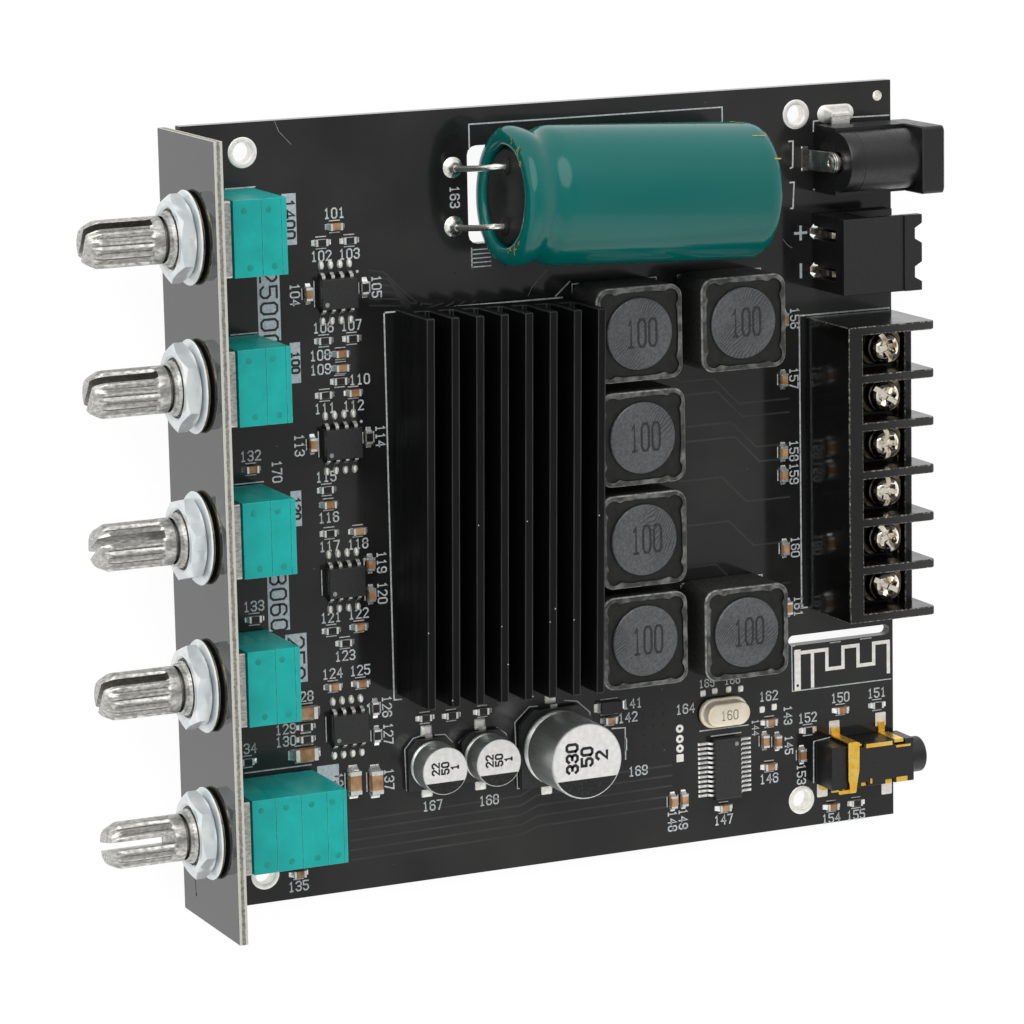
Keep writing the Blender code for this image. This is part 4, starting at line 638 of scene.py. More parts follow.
# %% Potentiometer pieces
# Place along the board, number of gangs, turn of the shaft's slot and of the nut in degrees.
POTS = ((12.85, 1, 58, 28), (31.2, 1, 52, 33), (50.15, 1, 31, 14), (68.85, 1, 53, 23), (87.75, 2, 12, 41))
GANG = 5.7
for number, (along, gangs, slot_turn, nut_turn) in enumerate(POTS, 1):
    name = f"pot_{number}"
    axis = on_board(along, 0.0, 6.5) @ rotated(90, "X")

    shaft = bmesh.new()
    sides = skin(shaft, [ribbed(*ring) for ring in KNURL], axis)
    # Painted shade: faces in the roots of the ribs take the darker finish.
    for index, side in enumerate(sides[:-2]):
        if 4 <= index // (RIBS * 6) <= 6 and index % 6 == 3:
            side.material_index = 1
    saw = fresh(block, (-0.525, -4, 7.0), (0.525, 4, 17.0), axis @ rotated(slot_turn, "Z"))
    shaft = carved(shaft, [saw])
    lathe(shaft, [(0, 5.9), (2.5, 5.9), (2.5, -2.2), (3.6, -2.2), (3.6, -3.2), (0, -3.2)], axis, 32)
    finished(f"{name}_knurled_shaft", shaft, [die_cast, knurl_root_shade], f"shaft_{number}", [f"{name}_shaft"],
             edge=30)

    thread = [(3.45 if i % 2 else 3.2, 0.3 + 0.375 * i) for i in range(13)]
    bushing = fresh(lathe, [(2.9, -1.9), (3.3, -1.9), (3.3, 0.0)] + thread +
                    [(3.2, 5.2), (3.0, 5.3), (2.9, 5.3)], axis, loop=True)
    plate = fresh(prism, rounded(9.5, 11.3, 0.35, 10), -1.9, 0.0, axis @ moved(0, -0.55))
    plate = carved(plate, [fresh(lathe, [(0, -3), (3.32, -3), (3.32, 2), (0, 2)], axis)])
    finished(f"{name}_threaded_bushing", joined([bushing, plate]), [die_cast], stands_for=[f"{name}_bushing"],
             edge=30)

    washer = fresh(lathe, [(3.75, 1.7), (5.72, 1.7), (5.85, 1.82), (5.85, 2.0), (5.7, 2.15), (3.85, 2.15),
                           (3.75, 2.05)], axis, 64, loop=True)
    for side in washer.faces:
        if (axis.inverted() @ side.calc_center_median()).xy.length > 5.8:
            side.material_index = 1
    finished(f"{name}_flat_washer", washer, [zinc_plate, yellow_zinc], stands_for=[f"{name}_washer"],
             edge=30)

    rings = [hole_ring(2.45, NUT_REACH), nut_ring(2.47, 0.55), nut_ring(4.43, -0.55),
             hole_ring(4.45, NUT_REACH)]
    rings += [hole_ring(*ring) for ring in ((4.45, 4.05), (4.2, 3.75), (2.7, 3.75), (2.45, 4.05))]
    nut = fresh(skin, rings, axis @ rotated(nut_turn, "Z"), loop=True)
    finished(f"{name}_hexagon_nut", nut, [zinc_plate], stands_for=[f"{name}_nut"], edge=24)

    housing = bmesh.new()
    dots = bmesh.new()
    long = 7.0 + GANG * (gangs - 1)
    shares = (0.0, 0.53, 0.9, 1.0) if gangs == 1 else (0.0, 0.25, 0.52, 0.79, 0.96, 1.0)
    seams = [-2.2 - long * share for share in shares]
    for start, end in zip(seams, seams[1:]):
        block(housing, (-4.75, -6.2, end + 0.03), (4.75, 5.1, start - 0.03), axis)
        # Each seam's recess takes the darker teal, painted shade.
        block(housing, (-4.69, -6.14, end - 0.02), (4.69, 5.04, end + 0.1), axis, 1)
        if start - end < 1:
            continue
        for x, depth in ((-3.4, 0.4), (3.6, -0.2)):
            lathe(dots, [(0, 5.14), (0.3, 5.15), (0.36, 5.13), (0.4, 5.1)],
                  axis @ moved(x, 0, (start + end) / 2 + depth) @ rotated(-90, "X"), 20)
    for gang in range(gangs):
        for leg in (-2.5, 0.0, 2.5):
            at = -6.7 - GANG * gang
            block(housing, (leg - 0.4, -9.9, at - 0.25), (leg + 0.4, -6.15, at + 0.25), axis, 2)
    finished(f"{name}_moulded_body", housing, [teal, teal_painted_shade, tinned, teal_edge_highlight],
             stands_for=[f"{name}_housing"], bevel=0.07, worn=3)
    finished(f"{name}_moulded_dots", dots, [teal_painted_shade], closed=False)
print("potentiometers:", len(POTS))

# %% [markdown]
# ## Heatsink
# The heatsink is an extruded aluminium comb, sawn to length and anodised black. Extrusion leaves fine
# lines along the fins, so the noise is stretched along X, and the edges are bevelled a little and
# painted dark grey, a painted highlight that draws two thin lines of light along each fin's top.

# %% Anodised aluminium
# A deep matt black with faint lines along the fins.
anodised = finish("black_anodised_extruded_aluminium", 0.8, "#050605", "#0b0c0b", (0.55, 0.42), ior=1.25,
                  stretch=(0.05, 1, 1))
# A dark grey on the bevelled edges is a painted highlight along the fins.
fin_edge_highlight = finish("anodising_painted_highlight_on_the_edges", 0.7, "#1a1b1b", "#343635", (0.5, 0.35), ior=1.4,
                stretch=(0.1, 1, 1))
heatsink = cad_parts["heatsink"]
dressed(heatsink, [anodised, fin_edge_highlight], 0.15)

# Bits of lint are the only light spots on it.
lint = finish("pale_lint_and_dust", 0.3, "#a8a8a2", "#e6e6e0", 0.7)
top = max(vert.co.z for vert in heatsink.data.vertices)
tips = [face for face in heatsink.data.polygons if face.center.z > top - 0.01 * MM]
dust = bmesh.new()
chance = random.Random(8)
for face in chance.sample(tips, 11):
    at = face.center.lerp(heatsink.data.vertices[face.vertices[0]].co, chance.choice((0.3, 0.7, 0.97)))
    speck = Matrix.Translation(at) @ IN_MM
    patch(dust, [(x * chance.uniform(0.7, 1.5), y) for x, y in circle(0.085, 7)], 0.03, spot=speck)
finished("heatsink_dust", dust, [lint], closed=False)
print("faces on the fins' tips:", len(tips))

# %% [markdown]
# ## Reservoir capacitor
# A rolled aluminium can in a shrunk PVC sleeve, sunk in a slot of the board. Shrinking rounds the
# sleeve over both ends and into the groove, and leaves a slightly wavy lip. It is turned from a
# profile, and the lip's points are moved a tenth of a millimetre by noise.

# %% Sleeve
# Glossy, with slow waves round the can.
sleeve = finish("shrunk_teal_pvc_sleeve", 11, "#016660", "#08726d", (0.16, 0.08), ior=1.4,
                stretch=(1, 0.25, 1), bump=0.03, detail=2.0)
tilt = on_board(11.38, 57.6, 7.6, -2.6) @ moved(0, -17.95) @ rotated(-90, "X")
can = fresh(lathe, [(0, 35.9), (5.6, 35.9), (7.0, 35.84), (7.9, 35.6), (8.45, 35.15), (8.75, 34.5),
                    (8.85, 33.7), (8.85, 20), (8.85, 6.6), (8.8, 5.9), (8.6, 5.25), (8.32, 4.6), (8.2, 3.9),
                    (8.3, 3.3), (8.55, 2.7), (8.74, 2.0), (8.78, 1.3), (8.66, 0.65), (8.3, 0.2), (7.7, 0.0),
                    (7.1, 0.0), (6.6, 0.12), (6.4, 0.4), (6.38, 0.9), (6.38, 2.2), (0, 2.2)], tilt, 96)
undo = tilt.inverted()
for vert in can.verts:
    spot = undo @ vert.co
    lip = max(0.0, 1 - spot.z / 4.5)
    if lip and spot.xy.length > 5:
        wave = noise.noise(Vector((spot.x * 0.35, spot.y * 0.35, spot.z * 0.5)))
        scale = 1 + wave * 0.022 * lip
        vert.co = tilt @ Vector((spot.x * scale, spot.y * scale, spot.z))
finished("reservoir_sleeved_can", can, [sleeve], stands_for=["reservoir_capacitor_can"], edge=60)

# The ends of the sleeve's printing shrink to flecks of dull gold.
gilt_ink = finish("gold_printing_ink", 0.3, "#8d7c2a", "#d2bf62", 0.45)
flecks = bmesh.new()
chance = random.Random(4)
for angle, reach, size in ((-52, 7.75, 1.0), (-40, 7.2, 0.7), (-68, 7.4, 0.6), (54, 7.7, 1.0), (66, 7.3, 0.8),
                           (44, 7.5, 0.6)):
    a = math.radians(angle)
    for _ in range(3):
        middle = Vector(((reach + chance.uniform(-0.4, 0.4)) * math.sin(a), -reach * math.cos(a)))
        middle += Vector((chance.uniform(-0.3, 0.3), chance.uniform(-0.3, 0.3)))
        run = Vector(polar(1, chance.uniform(0, math.pi))) * size * 0.35
        ribbon(flecks, [middle - run, middle + run], 0.16, up=-0.06, spot=tilt)
for angle, reach, height, turn in ((-84, 8.9, 32.3, 50), (-57, 8.9, 33.5, 88), (-33, 8.72, 34.6, 88)):
    on_shoulder = tilt @ rotated(angle, "Z") @ moved(0, -reach, height) @ rotated(90, "X")
    run = Vector(polar(1, math.radians(turn))) * 0.8
    ribbon(flecks, [-run, run], 0.2, up=0.0, spot=on_shoulder)
finished("reservoir_sleeve_flecks", flecks, [gilt_ink], closed=False)
print("sleeve and its flecks ride on the board")

# %% Rubber bung and leads
# Dull and darker than the board.
rubber = finish("black_moulded_rubber", 0.6, "#0a0a0a", "#141414", 0.6, ior=1.52, bump=0.03)
bung = fresh(lathe, [(0, 1.9), (6.1, 1.9), (6.1, 0.95), (5.8, 0.6), (1.6, 0.6), (1.3, 0.78), (0, 0.78)],
             tilt, 64)
to_board = BOARD.inverted() @ tilt
for side in (-3.75, 3.75):
    lathe(bung, [(1.15, 0.7), (1.15, 0.42), (0.9, 0.3), (0, 0.3)], tilt @ moved(side, 0), 24)
    knee = to_board @ Vector((side, 0, -1.0))
    hole = Vector((11.2 + side, 36.4, 0))
    line = [to_board @ Vector((side, 0, 1.2)), knee]
    for share in (step / 7 for step in range(1, 7)):
        line.append(knee + Vector(((hole.x - knee.x) * share, (hole.y - knee.y) * share,
                                   (1.6 - knee.z) * share ** 1.5)))
    line += [hole + Vector((0, 0, 1.5)), hole + Vector((0, 0, -3.4))]
    tube(bung, line, 0.4, BOARD, 1, 14)
    lathe(bung, [(1.35, 0.02), (1.2, 0.12), (0.8, 0.3), (0.55, 0.75), (0.45, 1.2), (0, 1.3)],
          on_board(hole.x, hole.y), 20, 1)
    lathe(bung, [(1.2, 0.0), (1.0, -0.3), (0.6, -0.9), (0.3, -1.7), (0, -1.75)],
          on_board(hole.x, hole.y, -1.62), 20, 1)
finished("reservoir_bung_and_leads", bung, [rubber, tinned], stands_for=["reservoir_capacitor_bung"])
print("points of a lead:", len(line))

# %% [markdown]
# ## Printing on the board
# The legend is white epoxy ink, screened on in lines about 0.15 mm wide. The numbers beside the parts
# are drawn as strokes on a four by six grid, the way board lettering is plotted. They are plain
# running numbers.

# %% Stroke numbers
STROKES = {
    "0": [[(0, 1), (1, 0), (3, 0), (4, 1), (4, 5), (3, 6), (1, 6), (0, 5), (0, 1)]],
    "1": [[(1, 5), (2, 6), (2, 0)], [(1, 0), (3, 0)]],
    "2": [[(0, 5), (1, 6), (3, 6), (4, 5), (4, 4), (0, 0), (4, 0)]],
    "3": [[(0, 5), (1, 6), (3, 6), (4, 5), (4, 4), (3, 3), (4, 2), (4, 1), (3, 0), (1, 0), (0, 1)],
          [(1.5, 3), (3, 3)]],
    "4": [[(3, 0), (3, 6), (0, 2), (4, 2)]],
    "5": [[(4, 6), (0, 6), (0, 3.5), (3, 3.5), (4, 2.5), (4, 1), (3, 0), (1, 0), (0, 1)]],
    "6": [[(4, 5), (3, 6), (1, 6), (0, 5), (0, 1), (1, 0), (3, 0), (4, 1), (4, 2.4), (3, 3.4), (0, 3.4)]],
    "7": [[(0, 6), (4, 6), (1.5, 0)]],
    "8": [[(1, 3.2), (0, 4.2), (0, 5), (1, 6), (3, 6), (4, 5), (4, 4.2), (3, 3.2), (1, 3.2), (0, 2.2), (0, 1),
           (1, 0), (3, 0), (4, 1), (4, 2.2), (3, 3.2)]],
    "9": [[(0, 1), (1, 0), (3, 0), (4, 1), (4, 5), (3, 6), (1, 6), (0, 5), (0, 3.8), (1, 2.8), (4, 2.8)]],
    "+": [[(2, 1), (2, 5)], [(0, 3), (4, 3)]],
    "-": [[(2, 1), (2, 5)]],
}


def write(shape, text, along, back, tall=1.2, wide=0.19, turned=False, up=0.02, paint=0, narrow=0.82,
          spot=BOARD):
    """Strokes of numbers centred on a place. They read along +Y, or along +X where they are turned."""
    unit = tall / 6
    step = 6 * unit * narrow
    start = -(step * (len(text) - 1) + 4 * unit * narrow) / 2
    for index, letter in enumerate(text):
        for order, stroke in enumerate(STROKES[letter]):
            closed = stroke[0] == stroke[-1]
            line = [(start + index * step + x * unit * narrow, (y - 3) * unit)
                    for x, y in (stroke[:-1] if closed else stroke)]
            line = [(along + x, back + y) if turned else (along - y, back + x) for x, y in line]
            ribbon(shape, line, wide, up + 0.004 * order, paint, spot, closed)


print("letters:", "".join(STROKES))

# %% [markdown]
# ## Chip parts
# Resistors are black printed ceramic with white sides, capacitors are tan ceramic, and both end in
# tinned caps with a wedge of solder down to the pad. The table gives each part's kind, place,
# direction, and the side on which its number is printed: near, far, left or right (v where the
# number is turned).

# %% Finishes of the chip parts and of the ink
# Fired tan ceramic, a little uneven in colour.
tan_ceramic = finish("tan_multilayer_ceramic", 1.6, "#976a42", "#cba279", (0.6, 0.4), ior=1.6)
# A glassy black window on each resistor.
black_glass = finish("black_resistor_glaze", 0.5, "#0e0e0e", "#222222", 0.3, ior=1.5)
# The resistor's snapped sides are white.
alumina = finish("white_alumina", 0.4, "#b5b2a8", "#dad7ce", 0.6)
# Ink over a rough mask prints a little patchy.
legend = finish("screened_white_legend_ink", 0.35, "#a2a7a9", "#d9dddf", 0.55, low=0.25, high=0.6)
# Where the screen was dry, the ink is thin and grey.
dull_legend = finish("thin_grey_legend_ink", 0.35, "#6c7072", "#a5a9ab", 0.55, low=0.25, high=0.6)
print("materials:", len(bpy.data.materials))

# %% Small chips, their solder and their numbers
# A board designer's letters for the kinds of parts.
R, C, L, B = "resistor", "capacitor", "large_capacitor", "broad_resistor"
SIZES = {R: (1.66, 0.86, 0.5), C: (1.66, 0.86, 0.84), L: (3.06, 1.56, 1.14), B: (3.06, 1.4, 0.6)}
CHIPS = (
    (C, 13.75, 20.1, 0, "n"), (R, 15.65, 18.2, 0, "f"), (R, 15.65, 22.0, 0, "f"), (C, 21.95, 16.2, 1, "lv"),
    (R, 21.75, 23.9, 1, "rv"), (R, 28.05, 18.2, 0, "n"), (R, 28.05, 22.0, 0, "n"), (C, 29.85, 20.4, 0, "l"),
    (C, 31.65, 20.4, 0, "l"), (R, 33.35, 20.2, 0, "r"), (R, 34.95, 18.1, 0, "f"), (C, 34.95, 22.0, 0, "f"),
    (C, 41.05, 16.2, 1, "lv"), (R, 40.85, 23.9, 1, "rv"), (R, 47.05, 18.0, 0, "n"), (C, 48.95, 18.2, 0, "f"),
    (R, -47.1, 18.2, 0, "f"), (C, -47.0, 22.1, 0, "f"), (C, -42.6, 23.6, 1, "rv"), (C, -38.6, 23.6, 1, "rv"),
    (R, -34.5, 18.1, 0, "n"), (C, -34.6, 21.9, 0, "n"), (R, -32.7, 19.9, 0, "f"), (C, -27.2, 18.1, 0, "n"),
    (C, -27.2, 21.9, 0, "n"), (R, -23.7, 23.8, 1, "rv"), (R, -20.1, 23.9, 1, "rv"), (L, -24.3, 14.0, 0, "n"),
    (R, -22.4, 14.2, 0, "l"), (R, -20.8, 14.2, 0, "l"), (L, -18.9, 13.9, 0, ""), (C, 43.45, 7.9, 0, "n"),
    (R, -37.1, 7.7, 0, "n"), (R, -18.8, 6.1, 0, "n"), (C, -3.3, 12.6, 0, "f"), (L, -14.4, 20.5, 1, "lv"),
    (L, -14.1, 23.5, 1, "rv"), (R, -21.6, 30.7, 0, ""), (R, -21.5, 34.4, 0, ""), (R, -21.5, 38.8, 0, ""),
    (B, -20.0, 57.0, 0, "r"), (C, -18.2, 57.0, 0, "r"), (C, -15.1, -18.9, 0, ""), (C, -12.6, -19.7, 1, ""),
    (C, -12.3, -17.8, 1, ""), (C, -9.0, -19.0, 0, "f"), (C, -4.2, -25.9, 0, "f"), (C, -6.0, -33.5, 1, "fv"),
    (C, -6.1, -31.9, 1, "fv"), (C, -15.5, -8.1, 0, "n"), (R, -15.5, -2.5, 0, "n"), (R, -13.3, -13.1, 0, "n"),
    (C, -10.0, -14.1, 1, "fv"), (C, -2.3, -9.6, 0, "f"), (R, -2.3, -5.8, 0, "f"), (C, 30.55, -16.2, 1, "rv"),
    (C, 38.55, -16.4, 1, "rv"), (C, 48.25, -16.5, 1, "rv"), (C, -48.4, -16.5, 1, "rv"),
    (C, -38.5, -16.4, 1, "rv"), (C, -30.4, -16.0, 1, "rv"),
)
# Numbers that stand apart from their part: text, along, back, turned, height and width of the stroke.
APART = (("162", 81.1, 80.6, 0), ("163", 11.2, 36.6, 1), ("164", 81.4, 68.2, 0), ("167", 89.9, 31.5, 0),
         ("168", 90.2, 39.5, 0), ("169", 88.95, 61.1, 0), ("170", 44.1, 11.4, 1), ("143", 84.1, 83.5, 1, 1.1),
         ("145", 88.2, 83.6, 1, 1.1), ("144", 85.2, 78.6, 1, 0.95, 0.16), ("165", 78.3, 71.4, 0, 1.0, 0.16),
         ("166", 78.3, 75.2, 0, 1.0, 0.16))
chips = bmesh.new()
printing = bmesh.new()
for number, (kind, along, back, lengthwise, side) in enumerate(CHIPS, 101):
    long, wide, tall = SIZES[kind]
    cap, foot = (0.3, 0.5) if long < 2 else (0.55, 0.7)
    along, back = from_corner(along, back)
    spot = on_board(along, back, 0.0, 0 if lengthwise else 90)
    half, w = long / 2, wide / 2
    if kind in (R, B):
        block(chips, (-half + cap, -w, 0.0), (half - cap, w, tall - 0.07), spot, 3)
        glaze = half - cap - 0.05
        block(chips, (-glaze, -w + 0.06, tall - 0.1), (glaze, w - 0.06, tall), spot, 1)
    else:
        block(chips, (-half + cap, -w + 0.02, 0.0), (half - cap, w - 0.02, tall - 0.02), spot)
    for end in (-1, 1):
        near, far = sorted((end * half, end * (half - cap)))
        block(chips, (near, -w - 0.01, 0.0), (far, w + 0.01, tall + 0.01), spot, 2)
        wedge = ((half * 0.96, 1.1, 0.02), (half * 0.96, 0.9, tall * 0.75), (half + 0.2, 0.8, tall * 0.3),
                 (half + foot, 0.75, 0.08), (half + foot, 0.75, 0.02))
        skin(chips, [[(end * x, y * w * share, z) for x, share, z in wedge] for y in (-1, -0.3, 0.3, 1)],
             spot, 2)
    for off in (-w - 0.32, w + 0.32):
        line = [(x, off) if lengthwise else (-off, x) for x in (-half * 0.8, half * 0.8)]
        ribbon(printing, [(along + x, back + y) for x, y in line], 0.13)
    ahead, aside = (half + 1.9, w + 1.25) if lengthwise else (w + 1.25, half + 1.9)
    if side:
        x, y = {"n": (-ahead, 0), "f": (ahead, 0), "l": (0, -aside), "r": (0, aside)}[side[0]]
        write(printing, str(number), along + x, back + y, turned=side.endswith("v"))
for text, along, back, turned, *pen in APART:
    write(printing, text, along, back, *pen, turned=turned)
finished("soldered_chip_parts", chips, [tan_ceramic, black_glass, solder, alumina], bevel=0.05)
print("chip parts:", len(CHIPS))

# %% [markdown]
# ## Eight-lead amplifier chips
# Moulded epoxy with a drafted body and gull-wing leads. The pads run well past the leads, so the
# solder forms bright drops at their ends.

# %% Moulded chips
# Matt black, grained like the spark-eroded mould.
epoxy = finish("black_moulded_epoxy", 0.3, "#1c1c1d", "#28282a", (0.45, 0.3), ior=1.55, bump=0.01)


def drafted(shape, long, wide, low, high, spot, draft=0.12):
    """A moulded body whose sides lean in above and below its parting line."""
    middle = (low + high) / 2
    rings = []
    for height, inset in ((low, draft), (middle - 0.03, 0.0), (middle + 0.03, 0.0), (high - 0.06, draft * 0.9),
                          (high, draft + 0.08)):
        x, y = long / 2 - inset, wide / 2 - inset
        rings.append(level([(-x, -y), (x, -y), (x, y), (-x, y)], height))
    skin(shape, rings, spot)


amps = bmesh.new()
drop = [(x * 0.39, 3.5 + y * 0.62) for x, y in circle(1, 14)]
for along, back in ((22.05, 20.0), (41.15, 20.0), (58.95, 19.9), (78.05, 19.9)):
    drafted(amps, 3.98, 4.98, 0.05, 1.64, on_board(along, back))
    lathe(amps, [(0, 1.645), (0.28, 1.645), (0.3, 1.66), (0, 1.66)], on_board(along + 1.3, back - 1.8), 12, 2)
    for i in range(4):
        for side in (90, -90):
            turn = on_board(along, back + 1.27 * (i - 1.5)) @ rotated(side, "Z")
            strip(amps, [(1.9, 0.85), (2.2, 0.85), (2.45, 0.45), (2.65, 0.12), (3.15, 0.1)], 0.44, 0.18,
                  turn, 1)
            mound(amps, drop, ((1.0, 0.02), (0.92, 0.2), (0.66, 0.38), (0.25, 0.46)), turn, 3, 3.5,
                  (True, True))
            block(amps, (-0.2, 2.6, 0.02), (0.2, 3.4, 0.08), turn, 1)
    ribbon(printing, [(along - 1.6, back - 2.9), (along + 1.6, back - 2.9)], 0.13)
    patch(printing, circle(0.2, 10, (along - 2.4, back + 3.0)))
finished("eight_lead_chips", amps, [epoxy, solder, dull_legend, bare_tin], edge=30)
print("leads on each chip:", 2 * (i + 1))

# %% [markdown]
# ## Radio chip and crystal
# The fine-pitch radio chip has twelve leads a side in a wet row of solder. The crystal is a drawn
# steel can, tinned to a warm cream, welded to its oval flange.

# %% Radio chip and crystal
radio = bmesh.new()
middle = on_board(-9.8, -25.75)
drafted(radio, 8.4, 4.0, 0.33, 1.5, middle)
lathe(radio, [(0, 1.5), (0.3, 1.5), (0.3, 1.52), (0, 1.52)], middle @ moved(-3.3, 1.2), 12, 2)
drop = [(-0.19, 2.45), (0.19, 2.45), (0.19, 3.95), (-0.19, 3.95)]
for i in range(12):
    for side in (180, 0):
        turn = middle @ moved(0.64 * (i - 5.5), 0) @ rotated(side, "Z")
        strip(radio, [(1.95, 0.85), (2.2, 0.85), (2.45, 0.5), (2.7, 0.36), (3.4, 0.34)], 0.3, 0.14, turn, 1)
        mound(radio, drop, ((1.0, 0.03), (1.0, 0.3), (0.8, 0.46), (0.3, 0.54)), turn, 1, 3.2, (True, True))
finished("radio_chip_with_leads", radio, [epoxy, solder, dull_legend], stands_for=["radio_chip"], edge=30)

# Warm, satin and almost white.
cream = finish("cream_tinned_steel", 1.5, "#f3e5cb", "#fff6e2", (0.46, 0.34), 0.4, bump=0.006)
# The number is bitten into the tin and looks brown.
etched = finish("etched_mark_in_tin", 0.3, "#756a52", "#a5987d", 0.5, 1.0)
OVAL = ((0.05, 0.3), (0.0, 0.38), (0.0, 0.7), (0.06, 0.8), (0.34, 0.82), (0.4, 0.9), (0.4, 2.1), (0.46, 2.28),
        (0.6, 2.38), (0.8, 2.42))
crystal = fresh(skin, [level(rounded(4.0 - 2 * inset, 7.1 - 2 * inset, 1.98 - inset, 10), height)
                       for inset, height in OVAL], on_board(-17.4, -26.0))
write(crystal, "160", 82.4, 73.55, wide=0.14, up=2.43, paint=1, narrow=0.75)
finished("crystal_can", crystal, [cream, etched], stands_for=["crystal"], edge=50)
print("radio leads:", 2 * (i + 1))

# %% [markdown]
# ## Inductors
# Each inductor is a square ferrite shield, pressed and fired, round a drum core. The gap is filled
# with dark resin, whose edge shrinks back in scallops. The rim is worn pale, and the top of the
# core is ground, which leaves bands of fine scratches.

# %% Ferrite finishes
# Dark, matt and faintly sandy.
ferrite = finish("fired_ferrite_shield", 0.5, "#222221", "#383836", (0.5, 0.34), ior=1.6, bump=0.02)
# Tumbling leaves grey patches on the rim.
worn_rim = finish("worn_ferrite_rim", 1.3, "#30312f", "#747572", 0.5, ior=1.5, low=0.42, high=0.66, bump=0.02,
                  detail=8.0)
# A nearly white band on the sharp outer corner is a painted highlight.
ferrite_corner_highlight = finish("painted_highlight_on_the_ferrite_corner", 0.8, "#575856", "#a9aaa7", 0.5, high=0.6)
# A black, slightly wavy filling.
resin = finish("dark_potting_resin", 0.9, "#0d0d0c", "#1a1a18", 0.5, ior=1.4, bump=0.04)
# Mid grey, with dark arcs of grinding in patches about 9 mm across.
ground = finish("ground_ferrite_core", 0.35, "#434648", "#5c5f61", (0.5, 0.32), ior=1.6, bump=0.01)
tree, shader, worked = opened(ground)
spot = node(tree, "ShaderNodeTexCoord").outputs["Object"]
patchy = node(tree, "ShaderNodeTexNoise", {"Vector": spot, "Scale": per(9), "Detail": 1.0}).outputs[0]
where = node(tree, "ShaderNodeMapRange", {"Value": patchy, "From Min": 0.5, "From Max": 0.62}).outputs[0]
arcs = node(tree, "ShaderNodeTexWave", {"Vector": spot, "Scale": per(0.85), "Distortion": 34.0, "Detail": 2.0,
                                        "Detail Scale": 0.14}, wave_type="BANDS", bands_direction="DIAGONAL")
thin = node(tree, "ShaderNodeMapRange", {"Value": arcs.outputs["Fac"], "From Min": 0.1, "From Max": 0.5,
                                         "To Min": 1.0, "To Max": 0.0}).outputs[0]
both = node(tree, "ShaderNodeMath", {0: thin, 1: where}, operation="MULTIPLY").outputs[0]
scratched = node(tree, "ShaderNodeMix", {"Factor": both, 6: worked, 7: tint("#2c2e30")}, data_type="RGBA")
tree.links.new(scratched.outputs[2], shader["Base Color"])
# The stamp prints broken black lines.
dark_ink = finish("dark_stamping_ink", 0.3, "#17181a", "#303335", 0.6, low=0.4, high=0.7)
print("materials:", len(bpy.data.materials))

# %% Inductor pieces
INDUCTORS = ((29.45, 58.45, 3), (29.25, 73.4, 0), (42.95, 58.7, -6), (56.3, 58.7, 4), (69.6, 58.65, 2),
             (70.1, 73.4, -2))
ANGLES = [math.tau * i / 180 for i in range(180)]
EAR_OFF, EAR = 6.1, 1.2      # a round ear in each corner of the filling, and its radius


def square_reach(half, radius, a):
    """How far a rounded square reaches in a direction."""
    c, s = abs(math.cos(a)), abs(math.sin(a))
    flat = half / max(c, s)
    k = half - radius
    if flat * min(c, s) <= k:
        return flat
    b = k * (c + s)
    return b + math.sqrt(max(b * b - 2 * k * k + radius * radius, 0.0))


def square(half, radius, height):
    return level([polar(square_reach(half, radius, a), a) for a in ANGLES], height)


def field(height, inset, seed):
    """The edge of the filling: a rounded square with an ear in each corner, worn into scallops."""
    ring = []
    for a in ANGLES:
        off = EAR_OFF * math.sin((a % (math.pi / 2)) - math.pi / 4)
        ear = 0.0
        if abs(off) < EAR:
            ear = math.sqrt(EAR_OFF ** 2 - off ** 2) + math.sqrt(EAR ** 2 - off ** 2) - inset
        worn = 0.1 * noise.noise(Vector((*polar(4, a), seed * 7.0)))
        ring.append((*polar(max(square_reach(5.42 - inset, 3.3, a), ear) + worn, a), height))
    return ring


def disc(radius, height):
    return level([polar(radius, a) for a in ANGLES], height)


for number, (along, back, turn) in enumerate(INDUCTORS, 1):
    spot = on_board(along, back)
    inner = field(8.0, 0.0, number)
    choke = bmesh.new()
    for rings, paint, caps in (
            ([square(5.9, 1.5, 0.3), square(6.1, 1.7, 0.6), square(6.1, 1.7, 7.72)], 0, (True, False)),
            ([square(6.1, 1.7, 7.72), square(6.07, 1.68, 7.86), square(5.96, 1.63, 7.98)], 5, (False, False)),
            ([square(5.96, 1.63, 7.98), square(5.85, 1.6, 8.0), inner], 1, (False, False)),
            ([inner, field(7.72, 0.1, number), disc(4.75, 7.62), disc(4.62, 7.62)], 2, (False, False)),
            ([disc(4.62, 7.62), disc(4.62, 7.88), disc(4.5, 7.97), disc(2.0, 7.97)], 3, (False, True))):
        skin(choke, rings, spot @ rotated(turn, "Z") if paint == 3 else spot, paint, caps)
    bmesh.ops.remove_doubles(choke, verts=choke.verts, dist=1e-7)
    write(choke, "100", -0.1, 0.3, tall=3.5, wide=0.33, up=7.985, paint=4, narrow=0.44, spot=spot)
    finished(f"inductor_{number}_shielded", choke, [ferrite, worn_rim, resin, ground, dark_ink, ferrite_corner_highlight],
             stands_for=[f"inductor_{number}"], edge=35, closed=False)
print("inductors:", len(INDUCTORS))

# %% [markdown]
# ## Upright capacitors
# A drawn aluminium can is rolled shut over a rubber disc and clinched on a black base with two cut
# corners. The can's side is polished and mirrors the dark board, and its lacquered top carries a
# black sector on the negative side.

# %% Upright cans
# Satin metal with fine lines down the side.
polished = finish("satin_drawn_aluminium", 0.6, "#ccd0cc", "#e6e9e6", (0.5, 0.42), 1.0, stretch=(1, 1, 0.1))
# The clear lacquer makes the top look like white paper.
lacquer = finish("lacquered_can_top", 0.7, "#e4e3df", "#f4f3f0", (0.55, 0.45), ior=1.45)
